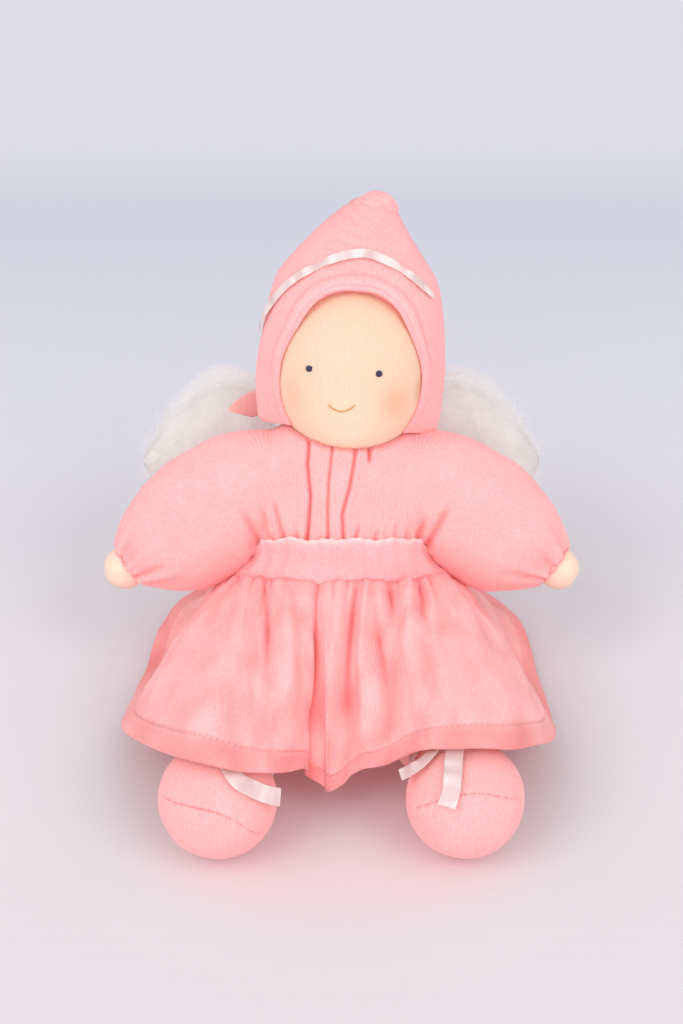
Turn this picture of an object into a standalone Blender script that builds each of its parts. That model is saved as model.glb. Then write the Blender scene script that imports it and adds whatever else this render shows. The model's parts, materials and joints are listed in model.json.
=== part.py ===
"""A soft cloth doll in a velour dress and pointed bonnet, sitting with its legs out in front.

It looks along -Y, its left side is at +X, and it sits on the plane z = 0. Every piece is
closed: covers are thin shells with an opening, and the wool filling of each lies inside it.
"""

import math

import bmesh
import bpy
from mathutils import Matrix, Vector

# Posture, as the doll sits
LEAN = math.radians(25)
HEAD_ROLL = math.radians(4)
ARM_DROOP = math.radians(37)
BRIM_PITCH = math.radians(14)
HIP_SWING = math.radians(60)

# Cloth, thread and the room between pieces
GAP = 0.0003
WOOL_GAP = 0.0005
VELOUR = 0.0012
TRICOT = 0.0009
SATIN = 0.0006
FLAT_CUT = 0.0005
THREAD_RADIUS = 0.0005

# Body
TORSO_RISE = 0.1225
TORSO_HALF_WIDTH = 0.0455
TORSO_HALF_DEPTH = 0.034
SEAT_SETBACK = 0.030
WAIST_RISE = 0.0625
WAISTBAND_WIDTH = 0.0160
WAISTBAND_THICKNESS = 0.0018

# Head
HEAD_RISE = 0.1425
HEAD_FORWARD = 0.008
HEAD_SIDE = 0.0040
HEAD_RADIUS = 0.0325
HEAD_CROWN = 0.038
HEAD_CHIN = 0.0350
NECK_RADIUS = 0.0115
NECK_LENGTH = 0.0135
EYE_RADIUS = 0.0015
EYE_THICKNESS = 0.0007
EYE_SPREAD = 0.0143
EYE_RISE = 0.0018
MOUTH_HALF_WIDTH = 0.0055
MOUTH_DROP = 0.0119
MOUTH_SAG = 0.0028
FACE_SHIFT = 0.0031

# Bonnet
BONNET_DROP = 0.0212
BONNET_RISE = 0.0725
BONNET_HALF_WIDTH = 0.0408
BONNET_HALF_DEPTH = 0.0302
BONNET_SETBACK = 0.0045
BONNET_LEAN = 0.0040
BRIM_FORWARD = 0.0132
BRIM_RADIUS = 0.0013
TIP_HALF_WIDTH = 0.0062
TIP_HALF_HEIGHT = 0.0044
TIP_SHIFT = 0.0065
BONNET_RIBBON_WIDTH = 0.0042
BONNET_RIBBON_RISE = 0.0500
BONNET_RIBBON_FALL = 0.0280
NAPE_RIBBON_WIDTH = 0.0085
NAPE_DROP = 0.0125
NAPE_REACH = 0.0085
NAPE_KNOT = 0.0030

# Arm
SHOULDER_SPREAD = 0.040
SHOULDER_RADIUS = 0.0215
SHOULDER_TOP_RADIUS = 0.001
SHOULDER_SLOPE_SHARE = 0.75
SHOULDER_PAST = 0.010
ARM_INSET = 0.003
ARM_RISE = 0.101
ARM_LENGTH = 0.0695
ARM_BURIED = 0.024
ARM_HALF_HEIGHT = 0.0277
ARM_HALF_DEPTH = 0.022
ARM_SAG = 0.0040
ARM_FLOOR = 0.0605
WAIST_SIDE_ROOM = 0.0045
HAND_RADIUS = 0.0092
HAND_STEP = 0.003
HAND_HOLE = 0.0035

# Leg and foot
HIP_SPREAD = 0.024
HIP_FORWARD = 0.002
HIP_RADIUS = 0.0205
HIP_FLOOR_ROOM = 0.004
HIP_STEPS = 4
THIGH_RADIUS = 0.0213
ANKLE_RADIUS = 0.0135
ANKLE_SEAT = 0.0010
FOOT_SPREAD = 0.048
FOOT_REACH = 0.0937
FOOT_RADIUS = 0.0231
FOOT_HOLE = 0.0045
SEAM_RADIUS = 0.0004
ANKLE_RIBBON_WIDTH = 0.0050
ANKLE_RIBBON_THICKNESS = 0.0012
BOW_RIBBON_WIDTH = 0.0070
BOW_PROUD = 0.0020
BOW_KNOT = 0.0027

# Skirt
SKIRT_HALF_WIDTH = 0.090
SKIRT_FRONT = 0.107
HEM_ROOM = 0.0033
HEM_FLOOR = 0.0024
SKIRT_BACK_ROOM = 0.0030
FOLD_HEIGHT = 0.0042
SKIRT_COLUMNS = 60
SKIRT_ROWS = 7

# Wings
WING_RISE = 0.098
WING_SPAN = 0.074
WING_HALF_HEIGHT = 0.0300
WING_HALF_DEPTH = 0.012
WING_LIFT = 0.0150
WING_ROOT = 0.006
TIE_HALF_LENGTH = 0.0110
TIE_RADIUS = 0.0098
TIE_END_SHARE = 0.12

# Room that cutters take past the pieces they cut
OVERRUN = 0.060
TURNING_ROOM = 0.047

# Rows of a form: along, width, depth, set back, tilt
TORSO_SHARES = (
    (0.0, 0.66, 0.59, 1.0, 1.0),
    (0.05, 0.92, 0.92, 0.92, 1.0),
    (0.19, 1.0, 1.0, 0.60, 0.8),
    (0.35, 0.94, 0.94, 0.20, 0.3),
    (0.49, 0.855, 0.845, 0.0, 0.0),
    (0.66, 0.87, 0.84, 0.0, 0.0),
    (0.82, 0.865, 0.79, 0.0, 0.0),
    (0.93, 0.74, 0.66, 0.0, 0.0),
    (1.0, 0.48, 0.44, 0.0, 0.0),
)
# Along from the shoulder to the wrist, height, depth, drop
ARM_SHARES = (
    (-0.35, 0.62, 0.66, 3.6),
    (-0.15, 0.75, 0.88, 2.0),
    (0.06, 0.94, 0.95, 1.25),
    (0.26, 0.98, 0.98, 0.88),
    (0.49, 1.0, 1.0, 0.70),
    (0.72, 0.895, 0.93, 0.68),
    (0.86, 0.67, 0.75, 0.38),
    (0.96, 0.45, 0.53, 0.12),
    (1.0, 0.38, 0.48, 0.0),
)
# Along from the hip to the ankle, of the thigh's radius
THIGH_SHARES = ((0.28, 1.0), (0.52, 0.975), (0.74, 0.83), (0.90, 0.68))
# Height, width, depth, lean, set back
BONNET_SHARES = (
    (0.0, 0.90, 0.96, 0.0, 1.0),
    (0.12, 0.983, 1.0, 0.0, 1.0),
    (0.27, 1.0, 0.995, 0.0, 1.0),
    (0.43, 0.957, 0.925, 0.0, 1.0),
    (0.57, 0.91, 0.835, 0.0, 1.0),
    (0.68, 0.82, 0.68, 0.0, 1.05),
    (0.76, 0.69, 0.58, 0.05, 1.1),
    (0.82, 0.585, 0.515, 0.12, 1.2),
    (0.88, 0.48, 0.445, 0.25, 1.3),
    (0.95, 0.345, 0.35, 0.55, 1.45),
    (1.0, 0.235, 0.26, 1.0, 1.55),
)
# Along the wing, height, depth, lift
WING_SHARES = (
    (0.0, 0.20, 0.50, 0.0),
    (0.14, 0.40, 0.72, 0.35),
    (0.30, 0.88, 0.92, 0.87),
    (0.46, 1.0, 1.0, 1.0),
    (0.64, 0.96, 1.0, 0.80),
    (0.82, 0.78, 0.84, 0.50),
    (1.0, 0.52, 0.60, 0.20),
)
# Angle round the waist from the front in half turns, then across, back and up of the hem
HEM_SHARES = (
    (-1.0, 0.0, 1.009, 0.0),
    (-0.905, -0.356, 0.963, 0.0),
    (-0.81, -0.689, 0.804, 0.0),
    (-0.71, -0.922, 0.449, 0.0),
    (-0.635, -0.978, 0.093, 0.036),
    (-0.585, -1.0, -0.206, 0.122),
    (-0.54, -1.003, -0.393, 0.272),
    (-0.495, -0.922, -0.561, 0.465),
    (-0.44, -0.756, -0.794, 0.764),
    (-0.395, -0.633, -0.935, 0.946),
    (-0.34, -0.478, -0.991, 0.957),
    (-0.27, -0.339, -0.953, 0.85),
    (-0.2, -0.239, -0.869, 0.7),
    (-0.13, -0.15, -0.729, 0.454),
    (-0.07, -0.1, -0.71, 0.208),
    (0.0, -0.039, -0.72, 0.165),
    (0.06, 0.067, -0.692, 0.325),
    (0.13, 0.2, -0.752, 0.561),
    (0.2, 0.322, -0.829, 0.832),
    (0.27, 0.41, -0.885, 0.972),
    (0.34, 0.539, -0.909, 1.017),
    (0.405, 0.717, -0.843, 0.882),
    (0.465, 0.853, -0.682, 0.636),
    (0.52, 0.956, -0.523, 0.4),
    (0.575, 0.983, -0.28, 0.186),
    (0.635, 0.972, 0.075, 0.047),
    (0.71, 0.922, 0.449, 0.0),
    (0.81, 0.689, 0.804, 0.0),
    (0.905, 0.356, 0.963, 0.0),
    (1.0, 0.0, 1.009, 0.0),
)
# Angle of each main fold in half turns, then its height
FOLD_SHARES = (
    (-0.92, 0.7), (-0.74, 0.9), (-0.58, 0.8), (-0.43, 1.0), (-0.335, 0.6), (-0.19, 0.8), (-0.03, 1.0),
    (0.08, 0.7), (0.21, 0.7), (0.35, 0.8), (0.43, 0.8), (0.56, 0.8), (0.72, 0.9), (0.90, 0.7),
)
FOLD_SPREAD_SHARE = 0.034
# How the skirt leaves the waist and meets the hem, as shares of the way between
FRONT_LEAVE_SHARES = (0.36, 0.05, 0.30, 0.10)
SIDE_LEAVE_SHARES = (0.42, 0.04, 0.22, 0.26)
BACK_LEAVE_SHARES = (0.46, -0.06, 0.55, 0.0)

# Seam over each foot: degrees round from its front, then height of the foot's radius
LEFT_SEAM_SHARES = (
    (-76, 0.0), (-62, 0.208), (-48, 0.407), (-32, 0.602), (-9, 0.719), (24, 0.695), (52, 0.485), (72, 0.26),
)
RIGHT_SEAM_SHARES = (
    (-76, 0.28), (-54, 0.407), (-23, 0.515), (4, 0.469), (23, 0.259), (39, -0.052), (56, -0.36),
)

# Ribbon ends over the feet: degrees across and forward of the foot's top, then how proud
LEFT_BOW_FRONT_SHARES = (
    (-6, -32, 1.1), (-9, -12, 1.0), (-12, 6, 1.0), (-14, 24, 1.0), (-16, 42, 1.2), (-20, 56, 1.5),
)
LEFT_BOW_INNER_SHARES = ((-16, -30, 1.0), (-30, -12, 1.0), (-42, 2, 1.5), (-53, 8, 2.6), (-60, 12, 4.0))
RIGHT_BOW_FRONT_SHARES = (
    (6, -32, 1.1), (8, -8, 1.0), (12, 16, 1.0), (22, 32, 1.1), (36, 39, 1.4), (50, 44, 2.0), (62, 47, 3.0),
)
RIGHT_BOW_INNER_SHARES = ((0, -30, 1.1), (-5, -10, 1.0), (-9, 4, 1.0))

COLOURS = {
    "velour": ((0.93, 0.42, 0.45, 1.0), 0.95),
    "skin": ((0.98, 0.76, 0.57, 1.0), 0.9),
    "wool": ((0.86, 0.79, 0.72, 1.0), 1.0),
    "satin": ((0.92, 0.84, 0.84, 1.0), 0.35),
    "thread": ((0.90, 0.42, 0.44, 1.0), 0.8),
    "eye": ((0.02, 0.02, 0.07, 1.0), 0.6),
    "mouth": ((0.55, 0.22, 0.10, 1.0), 0.7),
}


def cleared_scene():
    for item in list(bpy.data.objects):
        bpy.data.objects.remove(item, do_unlink=True)


def new_collection(name):
    made = bpy.data.collections.new(name)
    bpy.context.scene.collection.children.link(made)
    return made


def material(name, finish):
    made = bpy.data.materials.new(name)
    made.use_nodes = True
    shader = made.node_tree.nodes["Principled BSDF"]
    colour, roughness = COLOURS[finish]
    shader.inputs["Base Color"].default_value = colour
    shader.inputs["Roughness"].default_value = roughness
    shader.inputs["Metallic"].default_value = 0.0
    return made


def side_name(side):
    return "left" if side > 0 else "right"


def new_frame(name, parent, location, rotation=(0.0, 0.0, 0.0)):
    empty = bpy.data.objects.new(name, None)
    DOLL.objects.link(empty)
    empty.parent = parent
    empty.location = location
    empty.rotation_euler = rotation
    return empty


def new_object(name, mesh, finish, parent, rotation=None, location=(0.0, 0.0, 0.0)):
    """A piece of the doll, or a cutter where it has no finish."""
    made = bpy.data.objects.new(name, mesh)
    made.parent = parent
    made.location = location
    if rotation is not None:
        made.rotation_mode = "QUATERNION"
        made.rotation_quaternion = rotation
    if finish is None:
        CUTTERS.objects.link(made)
        made.hide_render = True
        made.display_type = "WIRE"
    else:
        DOLL.objects.link(made)
        made.data.materials.append(material(name, finish))
    return made


def blended(rows, share):
    """Every value of a table at a share along it, on a smooth curve through its rows."""
    share = min(max(share, rows[0][0]), rows[-1][0])
    last = len(rows) - 2
    at = next((i for i in range(last + 1) if share <= rows[i + 1][0]), last)

    def slope(index, column):
        before = rows[max(index - 1, 0)]
        after = rows[min(index + 1, len(rows) - 1)]
        return (after[column] - before[column]) / (after[0] - before[0])

    start, end = rows[at], rows[at + 1]
    span = end[0] - start[0]
    t = (share - start[0]) / span
    found = []
    for column in range(1, len(start)):
        rise = slope(at, column) * span
        fall = slope(at + 1, column) * span
        found.append(
            (2 * t**3 - 3 * t**2 + 1) * start[column]
            + (t**3 - 2 * t**2 + t) * rise
            + (3 * t**2 - 2 * t**3) * end[column]
            + (t**3 - t**2) * fall
        )
    return found


def ring(centre, half_width, half_depth, sides, tilt=0.0):
    turn = Matrix.Rotation(tilt, 3, "X")
    points = []
    for step in range(sides):
        angle = 2 * math.pi * step / sides
        across = Vector((half_width * math.cos(angle), half_depth * math.sin(angle), 0.0))
        points.append(Vector(centre) + turn @ across)
    return points


def lofted(name, rings, open_start=False, open_end=False, triangles=False):
    """A skin over a run of rings, closed at its ends unless they are open."""
    bm = bmesh.new()
    loops = [[bm.verts.new(point) for point in points] for points in rings]
    count = len(loops[0])
    for low, high in zip(loops, loops[1:]):
        for i in range(count):
            after = (i + 1) % count
            bm.faces.new((low[i], low[after], high[after], high[i]))
    if not open_start:
        bm.faces.new(list(reversed(loops[0])))
    if not open_end:
        bm.faces.new(loops[-1])
    if triangles:
        bmesh.ops.triangulate(bm, faces=bm.faces)
    mesh = bpy.data.meshes.new(name)
    bm.to_mesh(mesh)
    bm.free()
    mesh.shade_smooth()
    return mesh


def even_steps(count):
    return [step / count for step in range(count + 1)]


def rounded_steps(count):
    """Shares from 0 to 1 that lie closer together towards both ends."""
    return [0.5 - 0.5 * math.cos(math.pi * share) for share in even_steps(count)]


def solidify(piece, thickness, offset=-1.0):
    modifier = piece.modifiers.new("cloth", "SOLIDIFY")
    modifier.thickness = thickness
    modifier.offset = offset
    modifier.use_even_offset = True
    return piece


def displaced(piece, amount):
    modifier = piece.modifiers.new("offset", "DISPLACE")
    modifier.strength = amount
    modifier.mid_level = 0.0
    modifier.direction = "NORMAL"
    return piece


def cut(piece, *cutters, operation="DIFFERENCE"):
    for cutter in cutters:
        modifier = piece.modifiers.new(cutter.name, "BOOLEAN")
        modifier.operation = operation
        modifier.object = cutter
    return piece


def ball_mesh(name, radius, segments=18, rings=10, scale=(1.0, 1.0, 1.0)):
    bm = bmesh.new()
    bmesh.ops.create_uvsphere(bm, u_segments=segments, v_segments=rings, radius=radius)
    bmesh.ops.scale(bm, vec=scale, verts=bm.verts)
    mesh = bpy.data.meshes.new(name)
    bm.to_mesh(mesh)
    bm.free()
    mesh.shade_smooth()
    return mesh


def box_mesh(name, size, centre=(0.0, 0.0, 0.0)):
    bm = bmesh.new()
    bmesh.ops.create_cube(bm, size=1.0)
    bmesh.ops.scale(bm, vec=size, verts=bm.verts)
    bmesh.ops.translate(bm, vec=centre, verts=bm.verts)
    mesh = bpy.data.meshes.new(name)
    bm.to_mesh(mesh)
    bm.free()
    return mesh


def rod_mesh(name, radius, low, high, sides=32):
    return lofted(name, [ring((0.0, 0.0, z), radius, radius, sides) for z in (low, high)])


def tube(name, points, radius, finish, parent, closed=False, rotation=None, location=(0.0, 0.0, 0.0)):
    """A thread or rolled edge along a run of points."""
    curve = bpy.data.curves.new(name, "CURVE")
    curve.dimensions = "3D"
    curve.bevel_depth = radius
    curve.bevel_resolution = 1
    curve.use_fill_caps = not closed
    spline = curve.splines.new("POLY")
    spline.points.add(len(points) - 1)
    for spot, point in zip(spline.points, points):
        spot.co = (*point, 1.0)
    spline.use_cyclic_u = closed
    return new_object(name, curve, finish, parent, rotation, location)


def circle_points(radius, height, count=24):
    return [tuple(point) for point in ring((0.0, 0.0, height), radius, radius, count)]


def strip_rings(points, normals, width, thickness):
    """Four-cornered rings along a ribbon's middle line, flat side towards the normals."""
    rings = []
    for i, (point, normal) in enumerate(zip(points, normals)):
        before = points[max(i - 1, 0)]
        after = points[min(i + 1, len(points) - 1)]
        along = (after - before).normalized()
        out = (normal - along * normal.dot(along)).normalized()
        across = along.cross(out)
        half = across * (width / 2)
        first, last = point - half, point + half
        rings.append([first, first + out * thickness, last + out * thickness, last])
    return rings


def joined(name, finish, parent, pieces):
    """One piece from overlapping ones, the first of which carries the rest."""
    first, rest = pieces[0], pieces[1:]
    turn = first.rotation_quaternion.copy()
    made = new_object(name, first.data.copy(), finish, parent, turn, first.location)
    for other in rest:
        cut(made, other, operation="UNION")
    bpy.data.objects.remove(first, do_unlink=True)
    return made


def covered(name, filling_name, mesh, filling_mesh, parent, rotation=None,
            location=(0.0, 0.0, 0.0), cutters=()):
    """A velour cover and the wool inside it, both cut by the same neighbours."""
    cover = solidify(new_object(name, mesh, "velour", parent, rotation, location), VELOUR)
    filling = new_object(filling_name, filling_mesh, "wool", parent, rotation, location)
    displaced(filling, -(VELOUR + WOOL_GAP))
    cut(cover, *cutters)
    cut(filling, *cutters)
    return cover, filling


# Torso

def seat_rise():
    """Height on the torso's axis at which a level ring sinks below the floor by the flat cut."""
    return (SEAT_SETBACK * math.sin(LEAN) - FLAT_CUT) / math.cos(LEAN)


def torso_section(share):
    width, depth, back, tilt = blended(TORSO_SHARES, share)
    rise = seat_rise() + share * (TORSO_RISE - seat_rise())
    centre = Vector((0.0, back * SEAT_SETBACK, rise))
    return centre, width * TORSO_HALF_WIDTH, depth * TORSO_HALF_DEPTH, tilt * LEAN


def torso_share(rise):
    return (rise - seat_rise()) / (TORSO_RISE - seat_rise())


def torso_mesh(name, rows, sides):
    rings = []
    for share in rounded_steps(rows):
        centre, half_width, half_depth, tilt = torso_section(share)
        rings.append(ring(centre, half_width, half_depth, sides, tilt))
    return lofted(name, rings)


def make_torso():
    rooms = [TURN_ROOM]
    for side in (1, -1):
        spread = side * SHOULDER_SPREAD
        room = rod_mesh("shoulder_room", SHOULDER_RADIUS + GAP, ARM_FLOOR, TORSO_RISE + OVERRUN)
        rooms.append(new_object("shoulder_room", room, None, BODY, location=(spread, 0.0, 0.0)))
        rooms.append(hip_room(side))
    covered("torso_cover", "torso_stuffing", torso_mesh("torso_cover", 11, 24),
            torso_mesh("torso_stuffing", 11, 12), BODY, cutters=[FLOOR, *rooms])
    return rooms


def make_waistband(rooms):
    band = new_object("waistband", torso_mesh("waistband", 11, 24), "velour", BODY)
    displaced(band, GAP)
    solidify(band, WAISTBAND_THICKNESS, offset=1.0)
    slab = box_mesh("waist_slab", (2 * OVERRUN, 2 * OVERRUN, WAISTBAND_WIDTH), (0.0, 0.0, WAIST_RISE))
    cut(band, new_object("waist_slab", slab, None, BODY), operation="INTERSECT")
    cut(band, *[room for room in rooms if room.name.startswith("shoulder_room")])


# Head and bonnet

def head_mesh(name, rows, sides, open_neck):
    """A ball with a taller crown than chin, drawn in to the neck."""
    rings = []
    join = math.asin(NECK_RADIUS / HEAD_RADIUS)
    chin = HEAD_CHIN * math.cos(join)
    if open_neck:
        rings.append(ring((0.0, 0.0, -chin - NECK_LENGTH), NECK_RADIUS, NECK_RADIUS, sides))
    for share in even_steps(rows):
        polar = join + share * (math.pi - join - math.pi / (2 * rows))
        reach = HEAD_CHIN if polar < math.pi / 2 else HEAD_CROWN
        radius = HEAD_RADIUS * math.sin(polar)
        rings.append(ring((0.0, 0.0, -reach * math.cos(polar)), radius, radius, sides))
    return lofted(name, rings, open_start=open_neck)


def turning_room():
    """What the head, its bonnet and bow take up as they turn, with the neck below."""
    radius, reach = HEAD_RADIUS + GAP, HEAD_CHIN + GAP
    shelf = BONNET_DROP + BRIM_RADIUS
    first = math.asin((NECK_RADIUS + GAP) / radius)
    last = math.acos(shelf / reach)
    neck_end = reach * math.cos(first) + NECK_LENGTH + GAP
    rings = [ring((0.0, 0.0, -neck_end), NECK_RADIUS + GAP, NECK_RADIUS + GAP, 32)]
    for share in even_steps(6):
        polar = first + share * (last - first)
        rings.append(ring((0.0, 0.0, -reach * math.cos(polar)), *[radius * math.sin(polar)] * 2, 32))
    rings.append(ring((0.0, 0.0, -shelf), TURNING_ROOM, TURNING_ROOM, 32))
    rings.append(ring((0.0, 0.0, OVERRUN), TURNING_ROOM, TURNING_ROOM, 32))
    return new_object("turning_room", lofted("turning_room", rings), None, HEAD)


def on_face(across, up, proud):
    """The point over the head's skin at this place on its front, and the way out of the skin."""
    height = HEAD_CROWN if up > 0 else HEAD_CHIN
    level = HEAD_RADIUS * math.sqrt(1 - (up / height) ** 2)
    forward = math.sqrt(level**2 - across**2)
    out = Vector((across / HEAD_RADIUS**2, -forward / HEAD_RADIUS**2, up / height**2)).normalized()
    return Vector((across, -forward, up)) + out * proud, out


def make_head():
    skin = new_object("head_skin", head_mesh("head_skin", 10, 22, True), "skin", HEAD)
    solidify(skin, TRICOT)
    core = new_object("head_wool_core", head_mesh("head_wool_core", 10, 11, False), "wool", HEAD)
    displaced(core, -(TRICOT + WOOL_GAP))
    neck = NECK_RADIUS - TRICOT - GAP - THREAD_RADIUS
    low = HEAD_CHIN + THREAD_RADIUS + GAP
    tube("neck_tie", circle_points(neck, -low, 20), THREAD_RADIUS, "thread", HEAD, closed=True)
    for side in (1, -1):
        make_eye(side)
    points = []
    for share in even_steps(10):
        across = (2 * share - 1) * MOUTH_HALF_WIDTH
        up = -MOUTH_DROP - MOUTH_SAG * (1 - (2 * share - 1) ** 2)
        points.append(on_face(across - FACE_SHIFT, up, THREAD_RADIUS + GAP)[0])
    tube("mouth_stitch", points, THREAD_RADIUS, "mouth", HEAD)


def make_eye(side):
    point, out = on_face(side * EYE_SPREAD - FACE_SHIFT, EYE_RISE, EYE_THICKNESS / 2 + GAP)
    mesh = ball_mesh("eye", EYE_RADIUS, 10, 6, (1.0, 1.0, EYE_THICKNESS / EYE_RADIUS / 2))
    new_object(f"eye_{side_name(side)}", mesh, "eye", HEAD, out.to_track_quat("Z", "Y"), point)


def bonnet_section(up):
    """Centre and half sizes of the bonnet at this height over the head's centre."""
    share = (up + BONNET_DROP) / (BONNET_RISE + BONNET_DROP)
    width, depth, lean, back = blended(BONNET_SHARES, share)
    centre = Vector((lean * BONNET_LEAN, back * BONNET_SETBACK, up))
    return centre, width * BONNET_HALF_WIDTH, depth * BONNET_HALF_DEPTH


def on_bonnet(turn, up, proud):
    """A point over the bonnet at this turn from its front and height."""
    centre, half_width, half_depth = bonnet_section(up)
    across = (half_width + proud) * math.sin(turn)
    back = -(half_depth + proud) * math.cos(turn)
    return centre + Vector((across, back, 0.0))


def brim_plane(up):
    return -BRIM_FORWARD - up * math.tan(BRIM_PITCH)


def brim_half_width(up):
    """Half the width of the face opening at this height, zero above its arch."""
    centre, half_width, half_depth = bonnet_section(up)
    share = (centre.y - brim_plane(up)) / half_depth
    return half_width * math.sqrt(max(0.0, 1 - share**2))


def brim_top():
    low, high = 0.0, BONNET_RISE / 2 + BRIM_FORWARD
    for _ in range(40):
        middle = (low + high) / 2
        if brim_half_width(middle) > 0:
            low = middle
        else:
            high = middle
    return low


def make_bonnet():
    rings = []
    for share in even_steps(12):
        up = -BONNET_DROP + share * (BONNET_RISE + BONNET_DROP)
        centre, half_width, half_depth = bonnet_section(up)
        rings.append(ring(centre, half_width, half_depth, 24))
    shell = new_object("bonnet_shell", lofted("bonnet_shell", rings, open_start=True), "velour", HEAD)
    solidify(shell, VELOUR)
    room = new_object("head_room", head_mesh("head_room", 10, 22, False), None, HEAD)
    displaced(room, GAP)
    opening = box_mesh("face_opening", (2 * OVERRUN, OVERRUN, 2 * OVERRUN), (0.0, -OVERRUN / 2, 0.0))
    turn = Matrix.Rotation(BRIM_PITCH, 3, "X").to_quaternion()
    place = (0.0, -BRIM_FORWARD, 0.0)
    opening = new_object("face_opening", opening, None, HEAD, turn, place)
    tip_place = Vector((TIP_SHIFT, BONNET_SETBACK * BONNET_SHARES[-1][-1], BONNET_RISE + TIP_HALF_HEIGHT / 2))
    tip_scale = (TIP_HALF_WIDTH / TIP_HALF_HEIGHT, 1.0, 1.0)
    tip_mesh = ball_mesh("bonnet_tip", TIP_HALF_HEIGHT, 12, 8, tip_scale)
    new_object("bonnet_tip", tip_mesh, "velour", HEAD, location=tip_place)
    tip_room = new_object("tip_room", tip_mesh.copy(), None, HEAD, location=tip_place)
    displaced(tip_room, GAP)
    cut(shell, opening, room, tip_room)
    make_brim()
    make_bonnet_ribbon()
    make_nape_bow()


def make_brim():
    bottom, top = -BONNET_DROP + BRIM_RADIUS, brim_top() - VELOUR / 2
    forward = BRIM_RADIUS + GAP
    points = []
    for share in even_steps(24):
        angle = (share - 0.5) * math.pi
        up = bottom + (top - bottom) * math.cos(angle)
        across = math.copysign(max(brim_half_width(up) - VELOUR, 0.0), angle)
        plane = brim_plane(up)
        points.append((across, plane - forward * math.cos(BRIM_PITCH), up - forward * math.sin(BRIM_PITCH)))
    tube("bonnet_brim", points, BRIM_RADIUS, "velour", HEAD)


def make_bonnet_ribbon():
    start, end, full = math.radians(-80), math.radians(62), math.radians(78)
    inner = GAP + SATIN / 2
    rings = []
    for share in even_steps(22):
        turn = start + share * (end - start)
        up = BONNET_RIBBON_RISE - BONNET_RIBBON_FALL * (abs(turn) / full) ** 1.7
        low, high = up - BONNET_RIBBON_WIDTH / 2, up + BONNET_RIBBON_WIDTH / 2
        outer = inner + SATIN
        rings.append([
            on_bonnet(turn, high, inner), on_bonnet(turn, high, outer),
            on_bonnet(turn, low, outer), on_bonnet(turn, low, inner),
        ])
    new_object("bonnet_ribbon", lofted("bonnet_ribbon", rings), "satin", HEAD)


def nape_tail(name, direction, turns, reaches):
    points = []
    for turn, reach in zip(turns, reaches):
        proud = 3 * GAP + reach * NAPE_REACH
        points.append(on_bonnet(math.pi + direction * math.radians(turn), -NAPE_DROP, proud))
    normals = [(point - Vector((0.0, BONNET_SETBACK, point.z))).normalized() for point in points]
    rings = strip_rings(points, normals, NAPE_RIBBON_WIDTH, SATIN)
    return new_object(name, lofted(name, rings, triangles=True), None, HEAD)


def make_nape_bow():
    """The knot at the back of the bonnet, with one long tail round its right side."""
    turns, reaches = (-4, 20, 40, 55, 66, 74), (0.0, 0.0, 0.06, 0.28, 0.62, 1.0)
    long_tail = nape_tail("nape_long_tail", -1, turns, reaches)
    short_tail = nape_tail("nape_short_tail", 1, turns[:4], reaches[:4])
    knot_place = on_bonnet(math.pi, -NAPE_DROP, GAP + NAPE_KNOT)
    mesh = ball_mesh("nape_knot", NAPE_KNOT, 10, 6, (1.3, 1.0, 1.3))
    knot = new_object("nape_knot", mesh, None, HEAD, location=knot_place)
    joined("nape_bow", "satin", HEAD, [knot, long_tail, short_tail])


# Arms

def arm_turn(side):
    return Matrix.Rotation(side * (math.pi / 2 + ARM_DROOP), 3, "Y").to_quaternion()


def arm_place(side, along):
    """A point on the arm's middle line, from its shoulder's frame."""
    start = Vector((-side * ARM_INSET, 0.0, ARM_RISE))
    return start + arm_turn(side) @ Vector((0.0, 0.0, along))


def arm_mesh(name, side, rows, sides):
    rings = []
    first = -ARM_BURIED / ARM_LENGTH
    for share in rounded_steps(rows):
        along = first + share * (1 - first)
        height, depth, drop = blended(ARM_SHARES, along)
        centre = (side * drop * ARM_SAG, 0.0, along * ARM_LENGTH)
        rings.append(ring(centre, height * ARM_HALF_HEIGHT, depth * ARM_HALF_DEPTH, sides))
    return lofted(name, rings)


def shoulder_end_mesh():
    """The round end of an arm: upright, then sloping in above so that it passes under the head."""
    level = math.sqrt(1 - SHOULDER_SLOPE_SHARE**2)
    steep = HEAD_RADIUS / HEAD_CHIN * SHOULDER_SLOPE_SHARE / level
    apart = math.hypot(SHOULDER_SPREAD - HEAD_SIDE, HEAD_FORWARD)
    radius = apart - HEAD_RADIUS * level - 7 * GAP
    height = HEAD_RISE - SHOULDER_SLOPE_SHARE * HEAD_CHIN
    rings = [ring((0.0, 0.0, -OVERRUN), SHOULDER_RADIUS, SHOULDER_RADIUS, 32)]
    for end in (SHOULDER_RADIUS, SHOULDER_TOP_RADIUS):
        rings.append(ring((0.0, 0.0, height + (radius - end) / steep), end, end, 32))
    return lofted("shoulder_end", rings)


def inboard_rooms(side, shoulder):
    """What lies outside the arm's round end, to a little past its axis, and beside the waist."""
    size = (OVERRUN, 2 * OVERRUN, 4 * OVERRUN)
    block = box_mesh("inboard_room", size, (side * (SHOULDER_PAST - OVERRUN / 2), 0.0, 0.0))
    room = new_object(f"inboard_room_{side_name(side)}", block, None, shoulder)
    cut(room, new_object(f"shoulder_end_{side_name(side)}", shoulder_end_mesh(), None, shoulder))
    size = (OVERRUN + WAIST_SIDE_ROOM, 2 * OVERRUN, OVERRUN)
    centre = (side * (WAIST_SIDE_ROOM - OVERRUN) / 2, 0.0, ARM_FLOOR + GAP - OVERRUN / 2)
    waist = new_object(f"waist_room_{side_name(side)}", box_mesh("waist_room", size, centre), None, shoulder)
    return room, waist


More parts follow.
